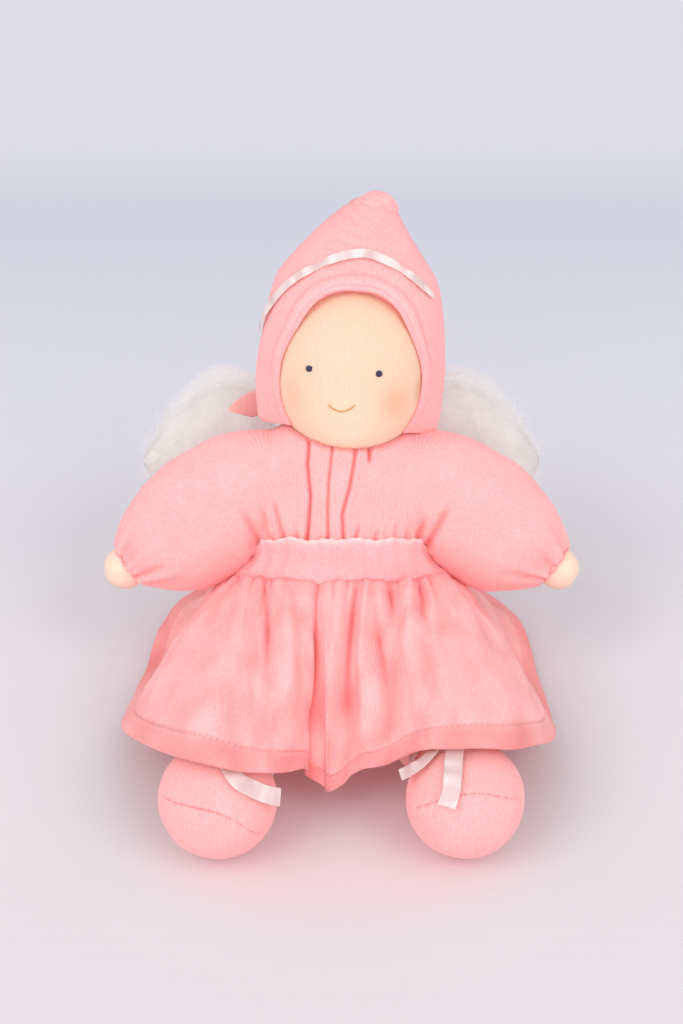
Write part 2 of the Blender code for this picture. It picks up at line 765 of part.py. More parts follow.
def make_arm(side):
    name = side_name(side)
    shoulder = new_frame(f"shoulder_{name}", BODY, (side * SHOULDER_SPREAD, 0.0, 0.0))
    turn = arm_turn(side)
    start, hand = arm_place(side, 0.0), arm_place(side, ARM_LENGTH + HAND_STEP)
    hand_mesh = ball_mesh("hand", HAND_RADIUS, 12, 8)
    hand_room = new_object(f"hand_room_{name}", hand_mesh.copy(), None, shoulder, turn, hand)
    displaced(hand_room, GAP)
    covered(f"sleeve_{name}", f"arm_stuffing_{name}", arm_mesh("sleeve", side, 10, 16),
            arm_mesh("arm_stuffing", side, 10, 8), shoulder, turn, start,
            [*inboard_rooms(side, shoulder), TURN_ROOM, hand_room])
    hole = rod_mesh("hand_hole", HAND_HOLE, -2 * HAND_RADIUS, 0.0, 12)
    hole = new_object(f"hand_hole_{name}", hole, None, shoulder, turn, hand)
    skin = solidify(new_object(f"hand_skin_{name}", hand_mesh, "skin", shoulder, turn, hand), TRICOT)
    cut(skin, hole)
    core = HAND_RADIUS - TRICOT - GAP
    new_object(f"hand_stuffing_{name}", ball_mesh("hand_stuffing", core, 6, 4), "wool", shoulder, turn, hand)
    make_wrist_thread(side, shoulder, turn)


def make_wrist_thread(side, shoulder, turn):
    """The thread that draws the sleeve in, round the hand at the sleeve's mouth."""
    along = ARM_LENGTH + GAP + THREAD_RADIUS
    hand = math.sqrt(HAND_RADIUS**2 - (ARM_LENGTH + HAND_STEP - along) ** 2)
    radius = hand + 2 * GAP + THREAD_RADIUS
    place = arm_place(side, along)
    name = f"wrist_thread_{side_name(side)}"
    tube(name, circle_points(radius, 0.0, 16), THREAD_RADIUS, "thread", shoulder, True, turn, place)


# Legs and feet

def hip_height():
    return HIP_RADIUS + HIP_FLOOR_ROOM


def hip_place(side):
    return Vector((side * HIP_SPREAD, -HIP_FORWARD, hip_height()))


def foot_place(side):
    return Vector((side * FOOT_SPREAD, -FOOT_REACH, FOOT_RADIUS - FLAT_CUT))


def leg_line(side):
    return foot_place(side) - hip_place(side)


def leg_turn(side):
    return leg_line(side).to_track_quat("Z", "Y")


def leg_end():
    """How far down the leg the foot's ball reaches the ankle."""
    return leg_line(1).length - math.sqrt(FOOT_RADIUS**2 - ANKLE_RADIUS**2)


def leg_radius(share):
    profile = [(0.0, HIP_RADIUS)]
    profile += [(place, part * THIGH_RADIUS) for place, part in THIGH_SHARES]
    profile.append((1.0, ANKLE_RADIUS))
    return blended(profile, share)[0]


def leg_mesh(name, rows, sides, grown=0.0):
    """A round end at the hip, then a thigh that tapers to the tied ankle."""
    rings = []
    for share in even_steps(4):
        polar = (share * 0.9 + 0.1) * math.pi / 2
        radius = (HIP_RADIUS + grown) * math.sin(polar)
        rings.append(ring((0.0, 0.0, -(HIP_RADIUS + grown) * math.cos(polar)), radius, radius, sides))
    for share in even_steps(rows)[1:]:
        radius = leg_radius(share) + grown
        rings.append(ring((0.0, 0.0, share * (leg_end() + ANKLE_SEAT)), radius, radius, sides))
    return lofted(name, rings)


def hip_room(side):
    """The space that the leg sweeps from sitting out in front to straight down."""
    bm = bmesh.new()
    swept = leg_mesh("swept", 4, 16, GAP)
    for share in even_steps(HIP_STEPS):
        swing = Matrix.Rotation(share * HIP_SWING, 3, "X") @ leg_turn(side).to_matrix()
        for vertex in swept.vertices:
            bm.verts.new(swing @ vertex.co)
    hull = bmesh.ops.convex_hull(bm, input=bm.verts)
    inner = set(hull["geom_interior"] + hull["geom_unused"])
    inner = [item for item in inner if isinstance(item, bmesh.types.BMVert)]
    bmesh.ops.delete(bm, geom=inner, context="VERTS")
    mesh = bpy.data.meshes.new("hip_room")
    bm.to_mesh(mesh)
    bm.free()
    return new_object(f"hip_room_{side_name(side)}", mesh, None, ROOT, location=hip_place(side))


def make_leg(side):
    name = side_name(side)
    hip = new_frame(f"hip_{name}", ROOT, hip_place(side))
    ankle = new_frame(f"ankle_{name}", hip, leg_line(side))
    foot_mesh = ball_mesh("foot", FOOT_RADIUS, 16, 10)
    room_mesh = ball_mesh("foot_room", FOOT_RADIUS + 2 * GAP, 28, 18)
    foot_room = new_object(f"foot_room_{name}", room_mesh, None, ankle)
    turn = leg_turn(side)
    covered(f"trouser_leg_{name}", f"leg_stuffing_{name}", leg_mesh("trouser_leg", 6, 16),
            leg_mesh("leg_stuffing", 6, 8), hip, turn, cutters=[foot_room])
    hole = rod_mesh("foot_hole", FOOT_HOLE, -2 * FOOT_RADIUS, 0.0, 12)
    hole = new_object(f"foot_hole_{name}", hole, None, ankle, turn)
    cover = solidify(new_object(f"foot_cover_{name}", foot_mesh, "velour", ankle), VELOUR)
    cut(cover, hole, FLOOR)
    core = ball_mesh("foot_stuffing", FOOT_RADIUS - VELOUR - GAP - FLAT_CUT, 8, 5)
    new_object(f"foot_stuffing_{name}", core, "wool", ankle)
    make_foot_seam(side, ankle)
    make_ankle_ribbon(side, hip, turn)
    make_ankle_bow(side, hip)


def make_foot_seam(side, ankle):
    """A seam across the front of the foot, higher over one toe than the other."""
    rows = LEFT_SEAM_SHARES if side > 0 else RIGHT_SEAM_SHARES
    radius = FOOT_RADIUS + SEAM_RADIUS + GAP
    points = []
    for share in even_steps(14):
        degrees = rows[0][0] + share * (rows[-1][0] - rows[0][0])
        turn = math.radians(degrees)
        up = blended(rows, degrees)[0]
        level = math.sqrt(1 - up**2)
        points.append(radius * Vector((level * math.sin(turn), -level * math.cos(turn), up)))
    tube(f"foot_seam_{side_name(side)}", points, SEAM_RADIUS, "thread", ankle)


def ankle_ribbon_place():
    """How far down the leg the ribbon's middle lies, and the ribbon's inner radius."""
    along = leg_end() - ANKLE_RIBBON_WIDTH * 0.8
    return along, leg_radius((along - ANKLE_RIBBON_WIDTH / 2) / leg_end()) + 3 * GAP


def make_ankle_ribbon(side, hip, turn):
    along, inner = ankle_ribbon_place()
    outer = inner + ANKLE_RIBBON_THICKNESS
    low, high = along - ANKLE_RIBBON_WIDTH / 2, along + ANKLE_RIBBON_WIDTH / 2
    corners = ((inner, low), (outer, low), (outer, high), (inner, high))
    rings = [ring((0.0, 0.0, z), radius, radius, 24) for radius, z in (*corners, corners[0])]
    bm = bmesh.new()
    bm.from_mesh(lofted("ankle_ribbon", rings, open_start=True, open_end=True))
    bmesh.ops.remove_doubles(bm, verts=bm.verts, dist=GAP / 10)
    bmesh.ops.recalc_face_normals(bm, faces=bm.faces)
    mesh = bpy.data.meshes.new("ankle_ribbon")
    bm.to_mesh(mesh)
    bm.free()
    new_object(f"ankle_ribbon_{side_name(side)}", mesh, "satin", hip, turn)


def over_foot(side, across, forward, proud):
    """A point over the foot in its hip's frame, from angles across and forward of its top."""
    reach = FOOT_RADIUS + proud
    turn, tip = math.radians(across), math.radians(forward)
    out = Vector((math.sin(turn), -math.cos(turn) * math.sin(tip), math.cos(turn) * math.cos(tip)))
    return leg_line(side) + out * reach, out


def bow_tail(name, side, hip, knot_place, knot_out, angles):
    spots = [over_foot(side, across, forward, BOW_PROUD * proud) for across, forward, proud in angles]
    points = [knot_place] + [spot for spot, _ in spots]
    normals = [knot_out] + [out for _, out in spots]
    rings = strip_rings(points, normals, BOW_RIBBON_WIDTH, SATIN)
    return new_object(name, lofted(name, rings, triangles=True), None, hip)


def make_ankle_bow(side, hip):
    """The ribbon's knot on top of the ankle, with its tails over the foot."""
    along, inner = ankle_ribbon_place()
    name = side_name(side)
    out = inner + ANKLE_RIBBON_THICKNESS + GAP + BOW_KNOT
    line = leg_line(side).normalized()
    up = (Vector((0.0, 0.0, 1.0)) - line * line.z).normalized()
    mesh = ball_mesh("bow_knot", BOW_KNOT, 10, 6, (1.5, 1.0, 1.0))
    place = line * along + up * out
    knot = new_object(f"bow_knot_{name}", mesh, None, hip, location=place)
    if side > 0:
        front_angles = LEFT_BOW_FRONT_SHARES
        inner_angles = LEFT_BOW_INNER_SHARES
    else:
        front_angles = RIGHT_BOW_FRONT_SHARES
        inner_angles = RIGHT_BOW_INNER_SHARES
    front = bow_tail("tail_front", side, hip, place, up, front_angles)
    inner = bow_tail("tail_inner", side, hip, place, up, inner_angles)
    joined(f"ankle_bow_{name}", "satin", hip, [knot, front, inner])


# Skirt

def skirt_top(turn):
    """A point on the skirt's gathered top, just under the waistband, in the doll's own frame."""
    rise = WAIST_RISE - WAISTBAND_WIDTH / 2 - GAP - VELOUR
    centre, half_width, half_depth, _ = torso_section(torso_share(rise))
    out = WAISTBAND_THICKNESS + 1.5 * VELOUR
    back = math.cos(turn) * (half_depth + out) + min(math.cos(turn), 0.0) * SKIRT_BACK_ROOM
    point = Vector((math.sin(turn) * (half_width + out), -back, 0.0))
    return Matrix.Rotation(-LEAN, 3, "X") @ (point + Vector((0.0, centre.y, rise)))


def hem_point(share):
    across, back, up = blended(HEM_SHARES, share)
    height = 2 * FOOT_RADIUS - FLAT_CUT + HEM_ROOM
    return Vector((across * SKIRT_HALF_WIDTH, back * SKIRT_FRONT, HEM_FLOOR + up * (height - HEM_FLOOR)))


def leave_shares(share):
    """How far out and up the skirt's curve is pulled, front, side or back."""
    front = max(0.0, math.cos(share * math.pi)) ** 0.7
    back = max(0.0, -math.cos(share * math.pi)) ** 0.5
    side = 1 - max(front, back)
    weights = (front, side, back)
    rows = (FRONT_LEAVE_SHARES, SIDE_LEAVE_SHARES, BACK_LEAVE_SHARES)
    total = sum(weights)
    return [sum(w * row[i] for w, row in zip(weights, rows)) / total for i in range(4)]


def skirt_base(share, down):
    """The skirt without its folds: a curve from the waist to the hem at this angle."""
    start, end = skirt_top(share * math.pi), hem_point(share)
    way = Vector((end.x - start.x, end.y - start.y, 0.0))
    lift = Vector((0.0, 0.0, way.length))
    out_first, up_first, out_last, up_last = leave_shares(share)
    first = start + way * out_first + lift * up_first
    last = end - way * out_last + lift * up_last
    left = 1 - down
    return left**3 * start + 3 * left**2 * down * first + 3 * left * down**2 * last + down**3 * end


def fold_height(share, down):
    total = 0.0
    for angle, height in FOLD_SHARES:
        apart = (share - angle + 1) % 2 - 1
        total += height * math.exp(-((apart / FOLD_SPREAD_SHARE) ** 2))
    return FOLD_HEIGHT * (min(total, 1.0) - 0.2) * math.sin(math.pi * min(0.12 + down, 1.0) * 0.62)


def make_skirt():
    step = 0.004
    rings = []
    for down in even_steps(SKIRT_ROWS):
        points = []
        for column in range(SKIRT_COLUMNS):
            share = 2 * column / SKIRT_COLUMNS - 1
            base = skirt_base(share, down)
            around = skirt_base(share + step, down) - skirt_base(share - step, down)
            along = skirt_base(share, min(down + step, 1.0)) - skirt_base(share, max(down - step, 0.0))
            out = along.cross(around).normalized()
            points.append(base + out * fold_height(share, down))
        rings.append(points)
    skirt = new_object("skirt", lofted("skirt", rings, open_start=True, open_end=True), "velour", ROOT)
    skirt.data.flip_normals()
    solidify(skirt, VELOUR, offset=0.0)


# Wings

def make_wing_tie():
    rings = []
    for share in even_steps(6):
        polar = (TIE_END_SHARE + (1 - 2 * TIE_END_SHARE) * share) * math.pi
        radius = TIE_RADIUS * math.sin(polar) ** 0.5
        rings.append(ring((0.0, 0.0, -TIE_HALF_LENGTH * math.cos(polar)), radius, radius, 16))
    turn = Matrix.Rotation(math.pi / 2, 3, "Y").to_quaternion()
    new_object("wing_tie", lofted("wing_tie", rings), "wool", BODY, turn, (0.0, wing_setback(), WING_RISE))


def wing_setback():
    """How far behind the torso's axis the wings are tied, clear of its back."""
    half_depth = torso_section(torso_share(WING_RISE))[2]
    return half_depth + GAP + TIE_RADIUS


def make_wing(side):
    name = side_name(side)
    root = WING_ROOT * 0.97
    across = side * (TIE_HALF_LENGTH * math.cos(TIE_END_SHARE * math.pi) + GAP + root)
    hinge = new_frame(f"wing_hinge_{name}", BODY, (across, wing_setback(), WING_RISE))
    rings = []
    for share in rounded_steps(9):
        along = -root + share * (WING_SPAN + root)
        height, depth, lift = blended(WING_SHARES, along / WING_SPAN)
        end = WING_SPAN * 0.30
        tip = math.sqrt(max(0.02, 1 - max(0.0, (along - WING_SPAN + end) / end) ** 2))
        round_off = tip * math.sqrt(max(0.05, 1 - max(0.0, -along / WING_ROOT) ** 2))
        centre = (-lift * WING_LIFT * side, 0.0, along)
        half_height = height * WING_HALF_HEIGHT * round_off
        rings.append(ring(centre, half_height, depth * WING_HALF_DEPTH * round_off, 14))
    turn = Matrix.Rotation(side * math.pi / 2, 3, "Y").to_quaternion()
    new_object(f"wing_{name}", lofted(f"wing_{name}", rings), "wool", hinge, turn)


def centre_on_floor():
    """Puts the middle of the doll's box over the origin."""
    bpy.context.view_layer.update()
    graph = bpy.context.evaluated_depsgraph_get()
    corners = []
    for piece in DOLL.objects:
        if piece.type == "EMPTY":
            continue
        shape = piece.evaluated_get(graph)
        mesh = shape.to_mesh()
        corners += [shape.matrix_world @ vertex.co for vertex in mesh.vertices]
        shape.to_mesh_clear()
    for axis in (0, 1):
        values = [corner[axis] for corner in corners]
        ROOT.location[axis] = -(min(values) + max(values)) / 2


cleared_scene()
DOLL = new_collection("cloth_doll")
CUTTERS = new_collection("cutters")
ROOT = new_frame("doll", None, (0.0, 0.0, 0.0))
BODY = new_frame("body_line", ROOT, (0.0, 0.0, 0.0), (-LEAN, 0.0, 0.0))
HEAD = new_frame("neck_axis", BODY, (HEAD_SIDE, -HEAD_FORWARD, HEAD_RISE), (0.0, HEAD_ROLL, 0.0))
FLOOR = new_object("floor", box_mesh("floor", [8 * OVERRUN] * 3, (0.0, 0.0, -4 * OVERRUN)), None, ROOT)
TURN_ROOM = turning_room()

make_head()
make_bonnet()
make_waistband(make_torso())
for each_side in (1, -1):
    make_arm(each_side)
    make_leg(each_side)
    make_wing(each_side)
make_wing_tie()
make_skirt()
centre_on_floor()
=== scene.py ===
"""The cloth doll as photographed: velour suit, skirt and bonnet, tricot face and hands,
satin ribbons and combed wool wings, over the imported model's frame."""

import json
import math

import bmesh
import bpy
import numpy as np
from mathutils import Matrix, Vector, noise

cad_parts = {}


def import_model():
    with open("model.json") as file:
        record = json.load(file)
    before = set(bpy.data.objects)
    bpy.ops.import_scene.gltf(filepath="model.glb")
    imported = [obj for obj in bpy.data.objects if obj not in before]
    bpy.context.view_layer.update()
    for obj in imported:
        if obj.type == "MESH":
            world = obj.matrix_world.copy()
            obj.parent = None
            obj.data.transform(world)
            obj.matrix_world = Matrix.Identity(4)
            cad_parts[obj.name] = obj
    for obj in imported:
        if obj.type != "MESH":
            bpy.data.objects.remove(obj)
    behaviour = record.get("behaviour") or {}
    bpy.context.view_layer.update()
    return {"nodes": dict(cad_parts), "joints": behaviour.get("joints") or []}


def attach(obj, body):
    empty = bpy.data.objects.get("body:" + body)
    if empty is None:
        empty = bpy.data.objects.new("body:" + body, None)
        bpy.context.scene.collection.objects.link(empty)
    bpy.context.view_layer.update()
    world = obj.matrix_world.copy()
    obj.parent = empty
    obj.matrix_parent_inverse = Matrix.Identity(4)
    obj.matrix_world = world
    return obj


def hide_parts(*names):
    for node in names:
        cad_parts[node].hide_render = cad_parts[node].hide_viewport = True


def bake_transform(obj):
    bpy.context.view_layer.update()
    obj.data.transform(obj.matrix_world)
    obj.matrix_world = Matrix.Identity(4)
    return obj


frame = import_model()
DETAIL = 1.0
RANDOM = np.random.default_rng(7)

# Posture and the model's own sizes, in metres
LEAN = math.radians(25)
HEAD_ROLL = math.radians(4)
ARM_TURN = math.radians(90 + 37)
BRIM_PITCH = math.radians(14)
SHOULDER = 0.040
ARM_INSET = 0.003
ARM_RISE = 0.101
ARM_LENGTH = 0.0695
ARM_BURIED = 0.024
ARM_HALF = (0.0277, 0.022)
ARM_SAG = 0.0040
HAND_RADIUS = 0.0092
HAND_REACH = 0.0725
TORSO_HALF = (0.0455, 0.034)
TORSO_RISE = 0.1225
SEAT_SETBACK = 0.030
FLAT_CUT = 0.0005
SEAT_RISE = (SEAT_SETBACK * math.sin(LEAN) - FLAT_CUT) / math.cos(LEAN)
BAND_LOW, BAND_HIGH = 0.0560, 0.0741
HEAD_RISE = 0.1425
HEAD_FORWARD = 0.008
HEAD_SIDE = 0.0040
HEAD_RADIUS = 0.0325
HEAD_CROWN = 0.038
HEAD_CHIN = 0.0350
EYE_RADIUS = 0.0012
EYE_SPREAD = 0.0143
EYE_RISE = 0.0018
FACE_SHIFT = 0.0031
MOUTH_HALF_WIDTH = 0.0055
MOUTH_DROP = 0.0119
MOUTH_SAG = 0.0028
BONNET_DROP = 0.0212
BONNET_RISE = 0.0725
BONNET_HALF = (0.0408, 0.0302)
BONNET_SETBACK = 0.0045
BONNET_LEAN = 0.0040
BRIM_FORWARD = 0.0132
BRIM_BACK = 0.0037
BONNET_LOW = -BONNET_DROP - 0.0022
BRIM_SIDE = 0.55
HIP = np.array((0.024, -0.002, 0.0245))
FOOT = np.array((0.048, -0.0937, 0.0226))
FOOT_RADIUS = 0.0231
HIP_RADIUS = 0.0205
THIGH_RADIUS = 0.0213
ANKLE_RADIUS = 0.0135
SKIRT_HALF_WIDTH = 0.090
SKIRT_FRONT = 0.107
HEM_RISE = 0.0490
HEM_FLOOR = 0.0024
HEM_WIDTH = 0.0100
SKIRT_LENGTH = 0.108
SKIRT_BACK_ROOM = 0.0030
VELOUR = 0.0012
SEAT_UNDER_BAND = 0.009
# Half the width and half the thickness of the brim's hem, and half the width of the ankles' ribbon
HEM_HALF = (0.0015, 0.00105)
RIBBON_HALF = 0.0036
# The nape's knot against the head's middle
NAPE_RISE = -0.0125
# Points nearer than this are merged
MERGED = 0.000002
# A wave texture repeats at this length over its scale
WAVE_LENGTH = 0.314
TABLE_THREAD = 0.0016
WING_SPAN = 0.074
WING_HALF = (0.0300, 0.012)
WING_LIFT = 0.0150
WING_ROOT = 0.0058

# Sections along each part, from 0 at its start to 1 at its end, as shares of the sizes above.
# Torso from the seat up: width, depth, how far back, tilt
TORSO_ROWS = (
    (0.0, 0.66, 0.59, 1.0, 1.0), (0.05, 0.92, 0.92, 0.92, 1.0), (0.19, 1.0, 1.0, 0.60, 0.8),
    (0.35, 0.94, 0.94, 0.20, 0.3), (0.49, 0.855, 0.845, 0.0, 0.0), (0.66, 0.87, 0.84, 0.0, 0.0),
    (0.82, 0.865, 0.79, 0.0, 0.0), (0.93, 0.74, 0.66, 0.0, 0.0), (1.0, 0.48, 0.44, 0.0, 0.0),
)
# Arm from the shoulder: height, depth, sag
ARM_ROWS = (
    (-0.35, 0.62, 0.66, 3.6), (-0.15, 0.75, 0.88, 2.0), (0.06, 0.94, 0.95, 1.25),
    (0.26, 0.98, 0.98, 0.88), (0.49, 1.0, 1.0, 0.70), (0.72, 0.895, 0.93, 0.68),
    (0.86, 0.67, 0.75, 0.38), (0.96, 0.45, 0.53, 0.12), (1.0, 0.38, 0.48, 0.0),
)
# Leg from the hip: radius in metres
LEG_ROWS = (
    (0.0, HIP_RADIUS), (0.28, THIGH_RADIUS), (0.52, 0.975 * THIGH_RADIUS),
    (0.74, 0.83 * THIGH_RADIUS), (0.90, 0.68 * THIGH_RADIUS), (1.0, ANKLE_RADIUS),
)
# Bonnet from its lower edge: width, depth, lean, how far back
BONNET_ROWS = (
    (0.0, 0.99, 0.99, 0.0, 1.0), (0.12, 1.005, 1.0, 0.0, 1.0), (0.27, 1.0, 0.995, 0.0, 1.0),
    (0.43, 0.957, 0.925, 0.0, 1.0), (0.57, 0.91, 0.835, 0.0, 1.0), (0.68, 0.82, 0.68, 0.0, 1.05),
    (0.76, 0.69, 0.58, 0.05, 1.1), (0.82, 0.585, 0.515, 0.12, 1.2), (0.88, 0.48, 0.445, 0.25, 1.3),
    (0.95, 0.345, 0.35, 0.55, 1.45), (1.0, 0.235, 0.26, 1.0, 1.55),
)
# Wing from its root: height, depth, lift
WING_ROWS = (
    (0.0, 0.20, 0.50, 0.0), (0.14, 0.40, 0.72, 0.35), (0.30, 0.88, 0.92, 0.87), (0.46, 1.0, 1.0, 1.0),
    (0.64, 0.96, 1.0, 0.80), (0.82, 0.78, 0.84, 0.50), (1.0, 0.52, 0.60, 0.20),
)
# The hem from the back round the right side, the front at 0 and the left side: across, back, up
HEM_ROWS = (
    (-1.0, 0.0, 1.009, 0.0), (-0.905, -0.356, 0.963, 0.0), (-0.81, -0.689, 0.804, 0.0),
    (-0.71, -0.922, 0.449, 0.0), (-0.635, -0.978, 0.093, 0.036), (-0.585, -1.0, -0.206, 0.122),
    (-0.54, -1.003, -0.393, 0.272), (-0.495, -0.922, -0.561, 0.465), (-0.44, -0.756, -0.794, 0.764),
    (-0.395, -0.633, -0.935, 0.946), (-0.34, -0.478, -0.991, 0.957), (-0.27, -0.339, -0.953, 0.85),
    (-0.2, -0.239, -0.869, 0.7), (-0.13, -0.15, -0.729, 0.454), (-0.07, -0.1, -0.71, 0.208),
    (0.0, -0.039, -0.72, 0.165), (0.06, 0.067, -0.692, 0.325), (0.13, 0.2, -0.752, 0.561),
    (0.2, 0.322, -0.829, 0.832), (0.27, 0.41, -0.885, 0.972), (0.34, 0.539, -0.909, 1.017),
    (0.405, 0.717, -0.843, 0.882), (0.465, 0.853, -0.682, 0.636), (0.52, 0.956, -0.523, 0.4),
    (0.575, 0.983, -0.28, 0.186), (0.635, 0.972, 0.075, 0.047), (0.71, 0.922, 0.449, 0.0),
    (0.81, 0.689, 0.804, 0.0), (0.905, 0.356, 0.963, 0.0), (1.0, 0.0, 1.009, 0.0),
)
# Skirt folds: place at the waist, place at the hem, height, spread at waist, spread at hem,
# where down the skirt it is strongest, how long it is
FOLDS = (
    (-0.43, -0.43, 0.0010, 0.030, 0.045, 0.75, 0.50),
    (-0.335, -0.37, 0.0028, 0.022, 0.050, 0.40, 0.50),
    (-0.27, -0.255, -0.0036, 0.018, 0.026, 0.28, 0.26),
    (-0.205, -0.185, 0.0030, 0.020, 0.040, 0.35, 0.50),
    (-0.074, -0.108, -0.0040, 0.012, 0.017, 0.62, 0.60),
    (-0.026, -0.034, 0.0034, 0.028, 0.044, 0.65, 0.75),
    (0.044, 0.026, -0.0036, 0.012, 0.020, 0.38, 0.36),
    (0.076, 0.078, 0.0030, 0.012, 0.020, 0.35, 0.50),
    (0.105, 0.125, -0.0030, 0.012, 0.022, 0.40, 0.36),
    (0.165, 0.165, -0.0026, 0.017, 0.020, 0.14, 0.16),
    (0.215, 0.21, 0.0028, 0.024, 0.050, 0.30, 0.50),
    (0.265, 0.29, -0.0028, 0.020, 0.026, 0.17, 0.22),
    (0.345, 0.36, 0.0016, 0.026, 0.050, 0.55, 0.50),
    (0.425, 0.43, 0.0026, 0.028, 0.045, 0.60, 0.60),
    (0.49, 0.50, -0.0008, 0.040, 0.050, 0.45, 0.50),
    (0.56, 0.56, 0.0010, 0.030, 0.050, 0.60, 0.60),
    (0.64, 0.63, -0.0020, 0.022, 0.030, 0.60, 0.60),
    (0.73, 0.72, 0.0030, 0.026, 0.036, 0.60, 0.70),
    (0.82, 0.81, -0.0022, 0.024, 0.030, 0.60, 0.60),
    (0.91, 0.90, 0.0026, 0.026, 0.036, 0.60, 0.70),
    (-0.51, -0.50, -0.0008, 0.040, 0.050, 0.50, 0.50),
    (-0.58, -0.58, 0.0008, 0.030, 0.050, 0.60, 0.60),
    (-0.66, -0.65, -0.0020, 0.022, 0.030, 0.60, 0.60),
    (-0.75, -0.74, 0.0030, 0.026, 0.036, 0.60, 0.70),
    (-0.84, -0.83, -0.0022, 0.024, 0.030, 0.60, 0.60),
    (-0.93, -0.92, 0.0026, 0.026, 0.036, 0.60, 0.70),
)
# Creases of the bodice: places along each from the top in millimetres across and up, depth, spread
CREASES = (
    (((-13.6, 122), (-13.7, 112), (-14.4, 105), (-12.8, 92), (-14.6, 74)), 0.0021, 0.00075),
    (((-3.0, 122), (-3.9, 110), (-5.5, 98), (-5.9, 74)), 0.0016, 0.00060),
    (((7.4, 122), (5.9, 110), (3.3, 95), (0.4, 84), (0.6, 74)), 0.0019, 0.00070),
    (((11.4, 120), (11.8, 108)), 0.0022, 0.00080),
    (((7.8, 82), (5.9, 73)), 0.0013, 0.00070),
    (((-29.5, 90), (-28.0, 86), (-24.4, 73)), 0.0012, 0.00110),
    (((-34.5, 88), (-30.5, 73)), 0.0007, 0.00120),
    (((-42.0, 86), (-39.0, 79), (-34.0, 68)), 0.0011, 0.00170),
    (((35.6, 82), (34.5, 78), (31.8, 70)), 0.0012, 0.00110),
    (((45.5, 88), (42.0, 80), (36.0, 68)), 0.0014, 0.00160),
    (((-19.5, 79), (-19.0, 73)), 0.0008, 0.00080),
    (((15.0, 79), (14.2, 73)), 0.0009, 0.00080),
    (((23.0, 80), (22.0, 73)), 0.0009, 0.00090),
    (((28.5, 79), (27.0, 72)), 0.0008, 0.00080),
)
# Height of each foot's seam over the ball's middle, by the angle round from its front
SEAMS = {
    -1: ((-80, 0.0060), (-54, 0.0096), (-23, 0.0116), (4, 0.0105), (23, 0.0060), (39, -0.0010),
         (60, -0.0080)),
    1: ((-78, -0.0010), (-62, 0.0046), (-48, 0.0093), (-32, 0.0135), (-9, 0.0162), (24, 0.0158),
        (52, 0.0110), (80, 0.0040)),
}
# Each tail of the nape's ribbon: its direction, then degrees round from the back, height over the
# cloth and rise, from the knot to its end
NAPE_TAILS = (
    (1, ((0, 0.0016, 0), (22, 0.0016, 0), (44, 0.002, -0.001), (58, 0.0045, -0.003), (70, 0.0085, -0.005),
         (80, 0.0125, -0.0075))),
    (-1, ((0, 0.0016, 0), (20, 0.0016, 0), (40, 0.002, 0), (55, 0.004, -0.001))),
)
# The wing's layers of wool: growth over its form, roughness, and whether the layer is thin
WING_LAYERS = (
    (-0.0095, 0.0008, False), (-0.0070, 0.0009, True), (-0.0045, 0.0010, True), (-0.0020, 0.0012, True),
    (0.0004, 0.0014, True), (0.0028, 0.0018, True),
)
# The camera stands on the doll's middle line, back from its seat and above the table
CAMERA_BACK, CAMERA_RISE = 0.602, 0.466
CAMERA_PITCH = math.radians(31.6)
LENS = 60.2
# Each lamp: name, where it stands, strength, spread and colour
LAMPS = (
    ("left_lamp", (-0.8, -0.60, 0.92), 0.86, 0.65, (1.0, 0.99, 0.97)),
    ("right_lamp", (0.8, -0.66, 0.88), 0.72, 0.65, (1.0, 0.99, 0.97)),
    ("front_lamp", (0.0, -1.0, 0.20), 0.95, 1.2, (1.0, 0.99, 0.98)),
)
LAMP_AIM = (0.0, 0.0, 0.08)
# The floor's colour from front to back, which the photograph shows in bands, and where they start and end
FLOOR_REACH = (-0.35, 1.65)
# The bands are painted light and shade: the table darkens from the front towards the back as the light falls
# off, and is lighter again beyond, where it stands for the backdrop
FLOOR_STOPS = (
    (0.0, (0.755, 0.712, 0.734)), (0.13, (0.755, 0.712, 0.734)), (0.26, (0.70, 0.677, 0.719)),
    (0.315, (0.657, 0.657, 0.712)), (0.385, (0.618, 0.618, 0.690)), (0.46, (0.575, 0.582, 0.667)),
    (0.54, (0.655, 0.650, 0.700)), (0.71, (0.664, 0.645, 0.682)),
)


def turned(axis, angle):
    return np.array(Matrix.Rotation(angle, 3, axis))


hip_joint = next(joint for joint in frame["joints"] if joint["name"] == "leg_left")
SEAT_POINT = np.array((0.0, hip_joint["pos_m"][1] - HIP[1], 0.0))
BODY_TURN = turned("X", -LEAN)
HEAD_TURN = BODY_TURN @ turned("Y", HEAD_ROLL)
HEAD_CENTRE = np.array((HEAD_SIDE, -HEAD_FORWARD, HEAD_RISE))
HEAD_PLACE = SEAT_POINT + BODY_TURN @ HEAD_CENTRE


def from_body(points):
    return points @ BODY_TURN.T + SEAT_POINT


def from_head(points):
    return points @ HEAD_TURN.T + HEAD_PLACE


def to_head(points):
    return (points - HEAD_PLACE) @ HEAD_TURN


def blended(rows, at):
    """Every value of a table at these shares, on a smooth curve through its rows."""
    rows = np.array(rows, float)
    x, values = rows[:, 0], rows[:, 1:]
    at = np.clip(np.asarray(at, float), x[0], x[-1])
    last = len(x) - 1
    before, after = np.maximum(np.arange(last + 1) - 1, 0), np.minimum(np.arange(last + 1) + 1, last)
    slopes = (values[after] - values[before]) / (x[after] - x[before])[:, None]
    low = np.clip(np.searchsorted(x, at, side="right") - 1, 0, last - 1)
    span = (x[low + 1] - x[low])[:, None]
    t = ((at - x[low])[:, None]) / span
    found = (
        (2 * t**3 - 3 * t**2 + 1) * values[low]
        + (t**3 - 2 * t**2 + t) * slopes[low] * span
        + (3 * t**2 - 2 * t**3) * values[low + 1]
        + (t**3 - t**2) * slopes[low + 1] * span
    )
    return found.T


def columns(*parts):
    """Points or pairs from their parts."""
    return np.stack(parts, axis=1)


